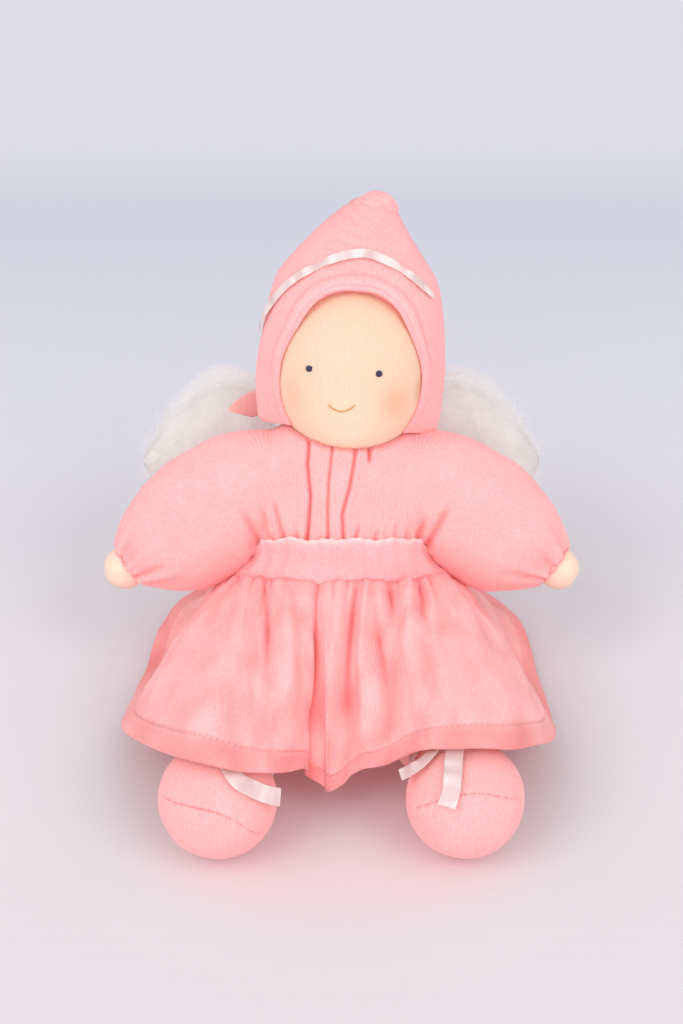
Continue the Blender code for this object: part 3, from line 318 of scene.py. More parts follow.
def unit(vectors):
    return vectors / np.maximum(np.linalg.norm(vectors, axis=-1, keepdims=True), 1e-12)


def smooth_step(value, start, end):
    t = np.clip((value - start) / (end - start), 0, 1)
    return t * t * (3 - 2 * t)


def lumps(points, scale, depth, offset=0.0):
    """Smooth noise at every point, depth high."""
    shift = Vector((offset, offset, offset))
    return depth * np.array([noise.noise(Vector(point) * scale + shift) for point in points])


def link(name, data):
    made = bpy.data.objects.new(name, data)
    bpy.context.scene.collection.objects.link(made)
    return made


def coordinates(mesh, value="co"):
    """The place of every vertex, or another value of it that has three parts."""
    flat = np.empty(len(mesh.vertices) * 3)
    mesh.vertices.foreach_get(value, flat)
    return flat.reshape(-1, 3)


def set_coordinates(mesh, points):
    mesh.vertices.foreach_set("co", np.asarray(points, float).ravel())
    mesh.update()


def set_uv(mesh, uv):
    """The cloth's own grain in metres, one pair for each vertex."""
    layer = mesh.uv_layers.get("UVMap") or mesh.uv_layers.new(name="UVMap")
    index = np.empty(len(mesh.loops), int)
    mesh.loops.foreach_get("vertex_index", index)
    layer.data.foreach_set("uv", np.asarray(uv, float)[index].ravel())


def set_shade_and_tone(mesh, values):
    """Below nothing the cloth is painted darker, as shade in its creases, grooves and hollows; above it,
    paler.
    """
    layer = mesh.attributes.get("shade_and_tone") or mesh.attributes.new("shade_and_tone", "FLOAT", "POINT")
    layer.data.foreach_set("value", np.asarray(values, np.float32))


def surface(name, across, along, place):
    """A fine grid that place turns into the piece: place(u, v) gives its points and its grain."""
    bm = bmesh.new()
    bm.loops.layers.uv.new("UVMap")
    bmesh.ops.create_grid(bm, x_segments=int(across), y_segments=int(along), size=0.5, calc_uvs=True)
    mesh = mesh_from(name, bm)
    at = coordinates(mesh)
    points, uv, *shade_and_tone = place(at[:, 0] + 0.5, at[:, 1] + 0.5)
    set_uv(mesh, uv)
    if shade_and_tone:
        set_shade_and_tone(mesh, shade_and_tone[0])
    set_coordinates(mesh, points)
    bm = bmesh.new()
    bm.from_mesh(mesh)
    bmesh.ops.remove_doubles(bm, verts=bm.verts, dist=MERGED)
    bmesh.ops.recalc_face_normals(bm, faces=bm.faces)
    bm.to_mesh(mesh)
    bm.free()
    mesh.shade_smooth()
    return mesh


def round_loop(centre, half_width, half_depth, angle):
    """Points of upright rings, angle 0 at the front and growing towards the left side."""
    return centre + columns(half_width * np.sin(angle), -half_depth * np.cos(angle), 0 * angle)


def unit_ball(u, v):
    """The two angles and the points of a ball, from its bottom to its top."""
    azimuth, polar = 2 * math.pi * u, math.pi * v
    ball = columns(np.sin(polar) * np.cos(azimuth), np.sin(polar) * np.sin(azimuth), -np.cos(polar))
    return azimuth, polar, ball


def read_along(at, reach, values):
    """Rows read off between the rows of a table, at these places along it."""
    return np.stack([np.interp(at, reach, values[:, i]) for i in range(3)], axis=-1)


def side_name(side):
    return "left" if side > 0 else "right"


def solidified(piece, thickness, offset=-1.0):
    modifier = piece.modifiers.new("cloth", "SOLIDIFY")
    modifier.thickness = thickness
    modifier.offset = offset
    return piece


def reach_along(path):
    """How far along a path each of its points lies."""
    return np.concatenate(((0.0,), np.cumsum(np.linalg.norm(np.diff(path, axis=0), axis=1))))


def at_ends(v):
    return (v < 1e-6) | (v > 1 - 1e-6)


def eased(v):
    """Shares that crowd towards both ends."""
    return 0.5 - 0.5 * np.cos(math.pi * v)


def frames_along(path, ups):
    """The ways out of a path and across it."""
    along = unit(np.gradient(path, axis=0))
    out = unit(ups - along * np.sum(ups * along, axis=1, keepdims=True))
    return out, np.cross(along, out)


def swept(name, path, ups, half_width, half_thickness, sides=12, ends=0.0, power=1.0):
    """A closed tube or ribbon of rounded section along a path; half_width may vary along it."""
    path, ups = np.asarray(path, float), np.asarray(ups, float)
    steps = len(path)
    width = np.broadcast_to(half_width, (steps,)).copy()
    thick = np.broadcast_to(half_thickness, (steps,)).copy()
    out, across = frames_along(path, ups)

    def place(u, v):
        at = np.clip(np.round(v * (steps - 1)).astype(int), 0, steps - 1)
        angle = 2 * math.pi * u
        c, s = np.cos(angle), np.sin(angle)
        c = np.sign(c) * np.abs(c) ** power
        s = np.sign(s) * np.abs(s) ** power
        close = np.ones_like(v)
        close[at_ends(v)] = ends
        points = path[at] + across[at] * (c * width[at] * close)[:, None]
        points = points + out[at] * (s * thick[at] * close)[:, None]
        return points, columns(u * 2 * width[at], reach_along(path)[at])

    return surface(name, sides, steps - 1, place)


def smooth_path(points, count):
    """A smooth run through a few points."""
    points = np.asarray(points, float)
    shares = np.linspace(0, 1, len(points))
    rows = np.concatenate((shares[:, None], points), axis=1)
    return blended(rows, np.linspace(0, 1, count)).T


# Finishes


def new_material(name):
    made = bpy.data.materials.new(name)
    made.use_nodes = True
    nodes = made.node_tree.nodes
    return made, nodes, made.node_tree.links, nodes["Principled BSDF"]


def set_values(node, **values):
    """Sets values of a node or of its inputs, with an underscore for each space of an input's name."""
    for key, value in values.items():
        if hasattr(node, key):
            setattr(node, key, value)
        else:
            node.inputs[key.replace("_", " ")].default_value = value


def add_node(nodes, kind, **values):
    made = nodes.new(kind)
    set_values(made, **values)
    return made


def mixed(nodes, links, factor, under, over):
    """A colour between two, by a factor's socket; each colour is a socket or a value."""
    mix = add_node(nodes, "ShaderNodeMix", data_type="RGBA")
    links.new(factor, mix.inputs[0])
    for slot, colour in ((6, under), (7, over)):
        if isinstance(colour, tuple):
            mix.inputs[slot].default_value = (*colour, 1)
        else:
            links.new(colour, mix.inputs[slot])
    return mix.outputs[2]


def ranged(nodes, links, value, low, high, to_low=0.0, to_high=1.0, kind="LINEAR"):
    made = add_node(nodes, "ShaderNodeMapRange", interpolation_type=kind, From_Min=low, From_Max=high,
                    To_Min=to_low, To_Max=to_high)
    links.new(value, made.inputs["Value"])
    return made.outputs["Result"]


def noise_value(nodes, links, place, scale, detail=2.0):
    made = add_node(nodes, "ShaderNodeTexNoise", Scale=scale, Detail=detail)
    links.new(place, made.inputs["Vector"])
    return made.outputs["Fac"]


def bands(nodes, links, place, way, width, **values):
    """Stripes of this width each, by one direction of a place's socket."""
    made = add_node(nodes, "ShaderNodeTexWave", wave_type="BANDS", bands_direction=way, wave_profile="SIN",
                    Scale=WAVE_LENGTH / width, **values)
    links.new(place, made.inputs["Vector"])
    return made.outputs["Fac"]


def away_from(nodes, links, place, spot):
    """How far a place's socket is from a spot."""
    away = add_node(nodes, "ShaderNodeVectorMath", operation="DISTANCE")
    away.inputs[1].default_value = spot
    links.new(place, away.inputs[0])
    return away.outputs["Value"]


def bumped(nodes, links, shader, strength, distance):
    """A bump under the shader; it gives back the socket for its height."""
    bump = add_node(nodes, "ShaderNodeBump", Strength=strength, Distance=distance)
    links.new(bump.outputs["Normal"], shader.inputs["Normal"])
    return bump.inputs["Height"]


def summed(nodes, links, terms):
    """The sum of sockets, each times its number."""
    total = None
    for socket, number in terms:
        step = add_node(nodes, "ShaderNodeMath", operation="MULTIPLY_ADD")
        links.new(socket, step.inputs[0])
        step.inputs[1].default_value = number
        step.inputs[2].default_value = 0.0
        if total:
            links.new(total, step.inputs[2])
        total = step.outputs[0]
    return total


def cloth(name, colour, deep, crease_shade, pale, glow, rib=0.0011, ribs=0.5, pile=0.5, sheen=0.35, rough=0.9):
    """Pile or knit cloth: fine ribs along its grain, a mottled pile and a soft sheen; where the mesh's shade
    attribute is below nothing its colour is painted as shade, and above it paler.

    The glow stands for the light that passes through the cloth into its shadows.
    """
    made, nodes, links, shader = new_material(name)
    grain = add_node(nodes, "ShaderNodeUVMap", uv_map="UVMap").outputs["UV"]
    place = add_node(nodes, "ShaderNodeTexCoord").outputs["Object"]
    rows = bands(nodes, links, grain, "X", rib, Distortion=1.2, Detail=1.0, Detail_Scale=1.5)
    fuzz = noise_value(nodes, links, place, 1500.0, 3.0)
    speck = noise_value(nodes, links, place, 620.0, 2.0)
    patch = noise_value(nodes, links, place, 70.0, 3.0)
    height = bumped(nodes, links, shader, 0.7, 0.0005)
    links.new(summed(nodes, links, ((rows, 0.5 * ribs), (fuzz, pile), (speck, 0.8 * pile))), height)
    mottle = summed(nodes, links, ((rows, 0.60 * ribs), (fuzz, 0.7), (speck, 0.6), (patch, 0.35)))
    amount = ranged(nodes, links, mottle, 0.73, 1.17)
    shade_and_tone = add_node(nodes, "ShaderNodeAttribute", attribute_name="shade_and_tone").outputs["Fac"]
    base = mixed(nodes, links, amount, deep, colour)
    # Painted shade where the attribute is below nothing, a paler colour where it is above
    base = mixed(nodes, links, ranged(nodes, links, shade_and_tone, 0.0, -1.0, 0.0, 0.75), base, crease_shade)
    base = mixed(nodes, links, ranged(nodes, links, shade_and_tone, 0.0, 1.0, 0.0, 0.9), base, pale)
    links.new(base, shader.inputs["Base Color"])
    set_values(shader, Roughness=rough, Sheen_Weight=sheen, Sheen_Roughness=0.5,
               Sheen_Tint=(1.0, 0.80, 0.80, 1), Specular_IOR_Level=0.15,
               Emission_Color=(*glow[:3], 1), Emission_Strength=glow[3])
    return made


def skin_cloth(name, colour, deep, blush_and_shading=True):
    """Cotton tricot, with rosy cheeks and a painted shadow beside the right cheek, where the bonnet's edge
    shades the face; the lower face glows a little, as painted light.
    """
    made = cloth(name, colour, deep, (0.85, 0.47, 0.25), (1.0, 0.85, 0.68), (1.0, 0.79, 0.60, 0.06),
                 0.0012, 0.9, 0.30, 0.15, 0.85)
    if not blush_and_shading:
        return made
    nodes, links = made.node_tree.nodes, made.node_tree.links
    shader = nodes["Principled BSDF"]
    base = shader.inputs["Base Color"].links[0].from_socket
    place = next(node for node in nodes if node.type == "TEX_COORD").outputs["Object"]
    for centre, radius, colour, strength in (
        ((0.0190, -0.0245, -0.0095), 0.0125, (0.95, 0.42, 0.27), 0.62),
        ((-0.0245, -0.0205, -0.0100), 0.0105, (0.95, 0.46, 0.32), 0.40),
        # Painted shadow beside the right cheek, under the bonnet's edge
        ((0.0290, -0.0130, -0.0030), 0.0085, (0.66, 0.32, 0.16), 0.70),
    ):
        away = away_from(nodes, links, place, from_head(np.array(centre)))
        near = ranged(nodes, links, away, radius, radius * 0.1, 0.0, strength, "SMOOTHSTEP")
        base = mixed(nodes, links, near, base, colour)
    links.new(base, shader.inputs["Base Color"])
    # Painted light: the chin and lower face glow a little, lifting them out of shade
    away = away_from(nodes, links, place, from_head(np.array((0.0, -0.022, -0.032))))
    chin = ranged(nodes, links, away, 0.034, 0.004, 0.06, 0.25, "SMOOTHSTEP")
    links.new(chin, shader.inputs["Emission Strength"])
    return made


def satin(name, colour, shade, alpha=1.0):
    """Satin ribbon: a fine cross weave, with painted sheen that turns its colour from lit to shaded in
    patches along it.
    """
    made, nodes, links, shader = new_material(name)
    grain = add_node(nodes, "ShaderNodeUVMap", uv_map="UVMap").outputs["UV"]
    rows = noise_value(nodes, links, grain, 130.0, 1.0)
    links.new(rows, bumped(nodes, links, shader, 0.5, 0.0008))
    # Painted sheen: patches along the ribbon go from the lit colour to the shaded one
    sheen_patches = ranged(nodes, links, rows, 0.42, 0.60)
    links.new(mixed(nodes, links, sheen_patches, shade, colour), shader.inputs["Base Color"])
    set_values(shader, Roughness=0.30, Anisotropic=0.5, Specular_IOR_Level=0.6, Alpha=alpha)
    return made


def thread(name, colour):
    made, _, _, shader = new_material(name)
    set_values(shader, Base_Color=(*colour, 1), Roughness=0.7, Specular_IOR_Level=0.25)
    return made


def wool(name, alpha):
    """Combed wool, with a faint glow of painted light for the light scattered through it; a fluff thinner
    than one fades out at its edges.
    """
    made, nodes, links, shader = new_material(name)
    place = add_node(nodes, "ShaderNodeTexCoord").outputs["Object"]
    tuft = noise_value(nodes, links, place, 110.0, 4.0)
    links.new(tuft, bumped(nodes, links, shader, 0.12, 0.001))
    set_values(shader, Base_Color=(0.800, 0.785, 0.765, 1), Emission_Color=(1.0, 0.93, 0.89, 1),
               Emission_Strength=0.15, Roughness=1.0, Sheen_Weight=0.5, Sheen_Roughness=0.7,
               Sheen_Tint=(1.0, 0.95, 0.95, 1), Specular_IOR_Level=0.05)
    if alpha < 1:
        edge = add_node(nodes, "ShaderNodeLayerWeight", Blend=0.35).outputs["Facing"]
        fade = ranged(nodes, links, edge, 0.0, 0.80, alpha, 0.0, "SMOOTHSTEP")
        thin = add_node(nodes, "ShaderNodeMath", operation="MULTIPLY")
        links.new(fade, thin.inputs[0])
        links.new(ranged(nodes, links, tuft, 0.30, 0.62, 0.65, 1.0), thin.inputs[1])
        links.new(thin.outputs[0], shader.inputs["Alpha"])
    return made


# Each cloth's third colour is its painted shade in creases and hollows; the glow is painted light
PINK_GLOW = (1.0, 0.25, 0.22, 0.085)
PINK = cloth("velour", (0.975, 0.490, 0.485), (0.93, 0.375, 0.380), (0.74, 0.145, 0.14),
             (1.0, 0.66, 0.65), PINK_GLOW)
PINK_PLAIN = cloth("velour_band", (0.970, 0.480, 0.490), (0.92, 0.37, 0.38), (0.76, 0.15, 0.15),
                   (1.0, 0.72, 0.70), PINK_GLOW)
SKIN = skin_cloth("tricot_face", (0.87, 0.605, 0.445), (0.85, 0.550, 0.380))
HAND_SKIN = skin_cloth("tricot_hands", (0.90, 0.665, 0.540), (0.88, 0.610, 0.470), False)
WHITE_SATIN = satin("satin", (0.84, 0.70, 0.67), (0.70, 0.50, 0.48))
PINK_SATIN = satin("satin_pink", (1.0, 0.66, 0.62), (0.95, 0.55, 0.53), 0.92)
SEAM_THREAD = thread("seam_thread", (0.80, 0.26, 0.27))
PINK_THREAD = thread("pink_thread", (0.90, 0.40, 0.41))
STITCH_THREAD = thread("stitch_thread", (0.99, 0.66, 0.66))
EYE_THREAD = thread("eye_thread", (0.055, 0.045, 0.090))
MOUTH_THREAD = thread("mouth_thread", (0.66, 0.28, 0.09))
WOOL = wool("wool_core", 1.0)
FLUFF = wool("wool_fluff", 0.34)
STRANDS = wool("wool_strands", 0.40)


def finished(piece, material, body=None):
    piece.data.materials.clear()
    piece.data.materials.append(material)
    if body:
        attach(piece, body)
    return piece


def shaped(name, across, along, place, material, body=None):
    """A finished piece from the grid that place shapes."""
    return finished(link(name, surface(name, across, along, place)), material, body)


def laid(name, path, ups, half_width, half_thickness, sides, ends, power, material, slot, body):
    """A finished ribbon or cord along a path."""
    mesh = swept(name, path, ups, half_width, half_thickness, sides, ends, power)
    return finished(link(name, mesh), material, body)


def stitches(name, path, ups, length, step, radius, material, body):
    """Short stitches along a path, each a thin rounded bar."""
    path, ups = np.asarray(path, float), unit(np.asarray(ups, float))
    reach = reach_along(path)
    bm = bmesh.new()
    for start in np.arange(step / 2, reach[-1] - length, step):
        ends = [read_along(at, reach, path) for at in (start, start + length)]
        up = read_along(start, reach, ups)
        along = Vector(ends[1] - ends[0])
        side = along.cross(Vector(up)).normalized()
        top = side.cross(along).normalized()
        turn = Matrix((side, along.normalized(), top)).transposed().to_4x4()
        middle = Vector((ends[0] + ends[1]) / 2)
        size = Matrix.Diagonal((radius, along.length / 2, radius * 0.8, 1))
        bmesh.ops.create_uvsphere(bm, u_segments=8, v_segments=6, radius=1.0,
                                  matrix=Matrix.Translation(middle) @ turn @ size)
    mesh = mesh_from(name, bm)
    mesh.shade_smooth()
    return finished(link(name, mesh), material, body)


# Torso and arms


def torso_section(share):
    width, depth, back, tilt = blended(TORSO_ROWS, share)
    rise = SEAT_RISE + share * (TORSO_RISE - SEAT_RISE)
    return rise, back * SEAT_SETBACK, width * TORSO_HALF[0], depth * TORSO_HALF[1], tilt * LEAN


def torso_point(share, angle, out=0.0):
    """Points of the torso's cloth in the body's frame, angle 0 at the front."""
    rise, back, half_width, half_depth, tilt = torso_section(share)
    across = (half_width + out) * np.sin(angle)
    deep = -(half_depth + out) * np.cos(angle)
    return columns(across, back + deep * np.cos(tilt), rise + deep * np.sin(tilt))


def torso_share(rise):
    return (rise - SEAT_RISE) / (TORSO_RISE - SEAT_RISE)


def arm_frame(side):
    turn = turned("Y", side * ARM_TURN)
    start = np.array((side * (SHOULDER - ARM_INSET), 0.0, ARM_RISE))
    return turn, start


def arm_coordinates(points, side):
    """Points of the body's frame in the arm's own: across, deep and along it."""
    turn, start = arm_frame(side)
    return (points - start) @ turn


def arm_surface(side):
    turn, start = arm_frame(side)
    first = -ARM_BURIED / ARM_LENGTH

    def place(u, v):
        along = first + eased(v) * (1 - first)
        height, depth, drop = blended(ARM_ROWS, along)
        angle = 2 * math.pi * u
        close = np.where(at_ends(v), 0.001, 1.0)
        local = columns(
            side * drop * ARM_SAG + close * height * ARM_HALF[0] * np.cos(angle),
            close * depth * ARM_HALF[1] * np.sin(angle),
            along * ARM_LENGTH,
        )
        return local @ turn.T + start, columns(u, v)

    return surface("arm_form", 72, 80, place)


def remeshed(name, meshes, size):
    """One even skin over several overlapping forms."""
    bm = bmesh.new()
    for mesh in meshes:
        bm.from_mesh(mesh)
    carrier = link(name + "_form", mesh_from(name, bm))
    modifier = carrier.modifiers.new("even", "REMESH")
    modifier.mode = "VOXEL"
    modifier.voxel_size = size
    bpy.context.view_layer.update()
    even = carrier.evaluated_get(bpy.context.evaluated_depsgraph_get())
    mesh = bpy.data.meshes.new_from_object(even)
    bpy.data.objects.remove(carrier, do_unlink=True)
    mesh.name = name
    return mesh


def mesh_from(name, bm):
    mesh = bpy.data.meshes.new(name)
    bm.to_mesh(mesh)
    bm.free()
    return mesh


def cut_away(bm, place, out):
    """Drops what lies past a plane."""
    every = list(bm.verts) + list(bm.edges) + list(bm.faces)
    bmesh.ops.bisect_plane(bm, geom=every, plane_co=place, plane_no=out, clear_outer=True)


def relaxed(mesh, rounds, share=0.5):
    edges = np.empty(len(mesh.edges) * 2, int)
    mesh.edges.foreach_get("vertices", edges)
    a, b = edges[0::2], edges[1::2]
    points = coordinates(mesh)
    count = np.bincount(a, minlength=len(points)) + np.bincount(b, minlength=len(points))
    for _ in range(rounds):
        total = np.stack([
            np.bincount(a, points[b, i], len(points)) + np.bincount(b, points[a, i], len(points))
            for i in range(3)
        ], axis=1)
        points = points + share * (total / np.maximum(count, 1)[:, None] - points)
    return points


def cleared_of_ball(points, centre, radii, turn, room):
    """Pushes points out of an egg, and gives them back."""
    local = (points - centre) @ turn / (np.array(radii) + room)
    away = np.linalg.norm(local, axis=1)
    inside = (away < 1) & (away > 1e-9)
    local[inside] /= away[inside][:, None]
    return local * (np.array(radii) + room) @ turn.T + centre


def crease_depth(points, facing):
    """How deep the cloth is drawn in at every point of the bodice, with a lip along each pleat, and how much
    painted shade lies in each groove.
    """
    depth, groove_shade = np.zeros(len(points)), np.zeros(len(points))
    x, z = points[:, 0], points[:, 2]
    for places, deep, spread in CREASES:
        line = np.array(places[::-1]) / 1000
        middle = np.interp(z, line[:, 1], line[:, 0]) + 0.00010 * np.sin(z * 260 + line[0, 0] * 900)
        low, high = line[0, 1], line[-1, 1]
        ends = smooth_step(z, low - 0.004, low) * (1 - smooth_step(z, high - 0.006, high + 0.001))
        groove = np.exp(-(((x - middle) / spread) ** 2)) * ends
        lip = np.exp(-(((x - middle - 2.6 * spread) / (spread * 1.7)) ** 2)) * ends
        depth += deep * (groove - 0.38 * lip)
        groove_shade += groove * deep / 0.0020
    front = smooth_step(facing, 0.0, 0.35)
    return depth * front, groove_shade * front


def make_bodice():
    """The suit's top: a cloth skin over chest and arms, in two halves that meet in the middle pleat."""
    sides = 96

    def torso_place(u, v):
        share = eased(v)
        points = torso_point(share, 2 * math.pi * u)
        ends = at_ends(v)
        rise, back, _, _, _ = torso_section(share)
        middle = columns(0 * rise, back, rise)
        points[ends] = middle[ends] + 0.001 * (points[ends] - middle[ends])
        return points, columns(u, v)

    forms = [surface("torso_form", sides, 80, torso_place), arm_surface(1), arm_surface(-1)]
    mesh = remeshed("bodice", forms, 0.0006 if DETAIL == 1 else 0.0011)
    points = relaxed(mesh, int(40 * DETAIL**2))
    head_radii = (HEAD_RADIUS, HEAD_RADIUS, HEAD_CHIN)
    points = cleared_of_ball(points, HEAD_CENTRE, head_radii, turned("Y", HEAD_ROLL), 0.0008)
    set_coordinates(mesh, points)
    out = coordinates(mesh, "normal")
    depth, shade_and_tone = crease_depth(points, -out[:, 1])
    shift = 0.00045 - depth
    shift += lumps(points, 62.0, 0.0007) + lumps(points, 160.0, 0.00022, 4.0)
    grain = columns(points[:, 0], points[:, 2])
    for side in (1, -1):
        local = arm_coordinates(points, side)
        along = local[:, 2]
        on_arm = smooth_step(points[:, 0] * side, 0.028, 0.044)
        angle = np.arctan2(local[:, 1], local[:, 0] - side * 0.002)
        gather = np.cos(9 * angle + 1.7 * np.sin(2 * angle + side)) + 0.5 * np.cos(17 * angle + side)
        tied = smooth_step(along, 0.046, 0.066) * on_arm
        shift += 0.00085 * gather * tied
        # Painted shade in the valleys of the wrist's gathers
        shade_and_tone += 0.28 * np.clip(-gather, 0, 1.5) * tied * smooth_step(along, 0.052, 0.068)
        under = smooth_step(local[:, 0] * side, 0.002, 0.02)
        shift += 0.0007 * under * on_arm
        grain[:, 0] = grain[:, 0] * (1 - on_arm) + side * (along + SHOULDER) * on_arm
        grain[:, 1] = grain[:, 1] * (1 - on_arm) + angle * 0.022 * on_arm
    at_band = 1 - smooth_step(points[:, 2], BAND_HIGH - 0.003, BAND_HIGH + 0.008)
    around = np.arctan2(points[:, 0], -points[:, 1])
    on_trunk = np.abs(points[:, 0]) < 0.040
    shift += 0.00045 * at_band * on_trunk * np.cos(around * 44 + 2 * np.sin(around * 5))
    # Painted shade on the bodice where it meets the waistband
    shade_and_tone += 0.25 * at_band * on_trunk
    points = points + out * shift[:, None]
    under_arm = 0.064 + 0.25 * (0.040 - np.abs(points[:, 0]))
    tucked = on_trunk & (points[:, 2] < BAND_HIGH - 0.0035) & (points[:, 2] < under_arm)
    inner = torso_point(torso_share(points[:, 2]), around, -0.0004)
    points[tucked, :2] = inner[tucked, :2]
    points = cleared_of_ball(points, HEAD_CENTRE, head_radii, turned("Y", HEAD_ROLL), 0.0003)
    # Painted shadow on the bodice round the neck, under the head
    near = np.linalg.norm((points - HEAD_CENTRE) / (np.array(head_radii) + 0.0006), axis=1)
    shade_and_tone += 0.8 * (1 - smooth_step(near, 1.0, 1.09))
    set_coordinates(mesh, points)
    set_uv(mesh, grain)
    # The painted shade gathered above is stored below nothing
    set_shade_and_tone(mesh, -shade_and_tone)
    dropped = (np.abs(points[:, 0]) < 0.0432) & (points[:, 2] < 0.0592)
    for side in (1, -1):
        name = side_name(side)
        bm = bmesh.new()
        bm.from_mesh(mesh)
        bm.verts.ensure_lookup_table()
        bmesh.ops.delete(bm, geom=[bm.verts[i] for i in np.flatnonzero(dropped)], context="VERTS")
        cut_away(bm, (0, 0, 0), (-side, 0, 0))
        half = mesh_from(f"bodice_{name}", bm)
        set_coordinates(half, from_body(coordinates(half)))
        half.shade_smooth()
        piece = finished(link(f"bodice_{name}", half), PINK)
        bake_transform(piece)
        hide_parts(f"sleeve_{name}")


def make_seat():
    """The suit below the waistband, out of sight under the skirt."""
    bm = bmesh.new()
    bm.from_mesh(frame["nodes"]["torso_cover"].data)
    top = from_body(np.array((0.0, 0.0, BAND_LOW + SEAT_UNDER_BAND)))
    cut_away(bm, top, BODY_TURN @ (0, 0, 1))
    mesh = mesh_from("suit_seat", bm)
    points = coordinates(mesh)
    set_uv(mesh, columns(points[:, 0], points[:, 2]))
    mesh.shade_smooth()
    piece = finished(link("suit_seat", mesh), PINK, "torso")
    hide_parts("torso_cover")


def make_waistband():
    """A soft band with overcast, slightly frilled edges, drawn in by the skirt's gathers."""

    def place(u, v):
        angle = 2 * math.pi * u - math.pi
        across = 2 * math.pi * v
        aside = np.abs(np.sin(angle))
        high = BAND_HIGH - 0.0018 * smooth_step(aside, 0.45, 0.85) - 0.0085 * smooth_step(aside, 0.84, 1.0)
        high = high + 0.0004 * np.sin(angle * 9 + 1) - 0.0004 * np.cos(angle * 17)
        low = BAND_LOW - 0.0014 + 0.0005 * np.sin(angle * 13) + 0.0004 * np.sin(angle * 31 + 1.0)
        low = low - 0.0006 * smooth_step(aside, 0.6, 1.0)
        frill = np.cos(angle * 52 + 3 * np.sin(angle * 4))
        edge = np.abs(np.sin(across)) ** 3
        up = np.sign(np.sin(across)) * np.abs(np.sin(across)) ** 0.75
        rise = (low + high) / 2 + (high - low) / 2 * up + 0.00022 * frill * edge
        puff = 0.0017 + 0.0007 * np.cos(across) + 0.00030 * frill * edge + 0.0021 * smooth_step(-up, 0.0, 1.0)
        puff = puff + 0.0003 * np.cos(angle * 31 + 2 * np.sin(angle * 3)) * (1 - 0.6 * np.abs(up))
        puff = puff + 0.00035 * np.sin(up * 4 + angle * 3)
        ends = smooth_step(aside, 0.74, 0.98)
        puff = puff * (1 - 0.45 * ends * smooth_step(up, -0.3, 0.6))
        puff = puff + 0.0024 * ends * smooth_step(-up, -0.4, 0.6)
        points = torso_point(torso_share(rise), angle, puff)
        points[:, 2] = rise
        shade_and_tone = 0.60 * smooth_step(up, 0.70, 0.95) + 0.25 * smooth_step(-up, 0.80, 0.97)
        # Painted shade at the band's ends, under the arms
        shade_and_tone = shade_and_tone - 0.35 * smooth_step(np.abs(np.sin(angle)), 0.80, 1.0)
        return from_body(points), columns(angle * 0.042, rise), shade_and_tone

    piece = shaped("waistband_cloth", 420 * DETAIL, 32, place, PINK_PLAIN, "torso")
    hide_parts("waistband")


# Head


def head_local(polar, azimuth, out=0.0):
    reach = np.where(polar < math.pi / 2, HEAD_CHIN, HEAD_CROWN)
    radius = (HEAD_RADIUS + out) * np.sin(polar)
    height = -(reach + out) * np.cos(polar)
    return columns(radius * np.sin(azimuth), -radius * np.cos(azimuth), height)


def on_face(across, up, proud):
    height = HEAD_CROWN if up > 0 else HEAD_CHIN
    level = HEAD_RADIUS * math.sqrt(1 - (up / height) ** 2)
    forward = math.sqrt(level**2 - across**2)
    out = unit(np.array((across / HEAD_RADIUS**2, -forward / HEAD_RADIUS**2, up / height**2)))
    return np.array((across, -forward, up)) + out * proud, out


def make_face():
    def place(u, v):
        polar = 0.30 + v * (math.pi - 0.31)
        azimuth = 2 * math.pi * u - math.pi
        local = head_local(polar, azimuth)
        low = v < 1e-6
        local[low, 2] -= 0.0105
        return from_head(local), columns(azimuth * HEAD_RADIUS, polar * HEAD_RADIUS)

    piece = shaped("face_skin", 120, 90, place, SKIN, "head")
    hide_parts("head_skin")
    for side in (1, -1):
        name = side_name(side)
        centre, _ = on_face(side * EYE_SPREAD - FACE_SHIFT, EYE_RISE, 0.0)
        paths = []
        for row in np.linspace(-0.8, 0.8, 6):
            half = EYE_RADIUS * math.sqrt(1 - row**2)
            spots = []
            for share in np.linspace(-1, 1, 7):
                lift = 0.00035 * math.sqrt(max(0.0, 1 - row**2)) * (1 - share**2) + 0.00016
                at, _ = on_face(centre[0] + row * EYE_RADIUS, centre[2] + share * half, lift)
                spots.append(at)
            paths.append(np.array(spots))
        piece = thread_piece(f"eye_stitches_{name}", paths, 0.00034, EYE_THREAD, "head")
        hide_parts(f"eye_{name}")
    spots = []
    for share in np.linspace(-1, 1, 19):
        across = share * MOUTH_HALF_WIDTH - FACE_SHIFT
        up = -MOUTH_DROP - MOUTH_SAG * (1 - share**2) + 0.0003 * share
        spots.append(on_face(across, up, 0.0002 + 0.00012 * math.cos(share * 9))[0])
    piece = thread_piece("smile_stitches", [np.array(spots)], 0.00028, MOUTH_THREAD, "head")
    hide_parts("mouth_stitch")


def thread_piece(name, paths, radius, material, body, place=from_head):
    """Threads along several paths, as one curve."""
    curve = bpy.data.curves.new(name, "CURVE")
    curve.dimensions = "3D"
    curve.bevel_depth = radius
    curve.bevel_resolution = 3
    curve.use_fill_caps = True
    for path in paths:
        spline = curve.splines.new("POLY")
        spline.points.add(len(path) - 1)
        for spot, point in zip(spline.points, place(path)):
            spot.co = (*point, 1.0)
    return finished(link(name, curve), material, body)


# Bonnet


def bonnet_section(up):
    width, depth, lean, back = blended(BONNET_ROWS, (up + BONNET_DROP) / (BONNET_RISE + BONNET_DROP))
    centre = columns(lean * BONNET_LEAN, back * BONNET_SETBACK, up)
    return centre, width * BONNET_HALF[0], depth * BONNET_HALF[1]


def on_bonnet(turn, up, proud):
    centre, half_width, half_depth = bonnet_section(up)
    return round_loop(centre, half_width + proud, half_depth + proud, turn)


def brim_plane(up):
    drawn_back = BRIM_BACK * np.clip((up - 0.004) / 0.033, 0.0, 1.3) ** 1.6
    return -BRIM_FORWARD - up * math.tan(BRIM_PITCH) + drawn_back


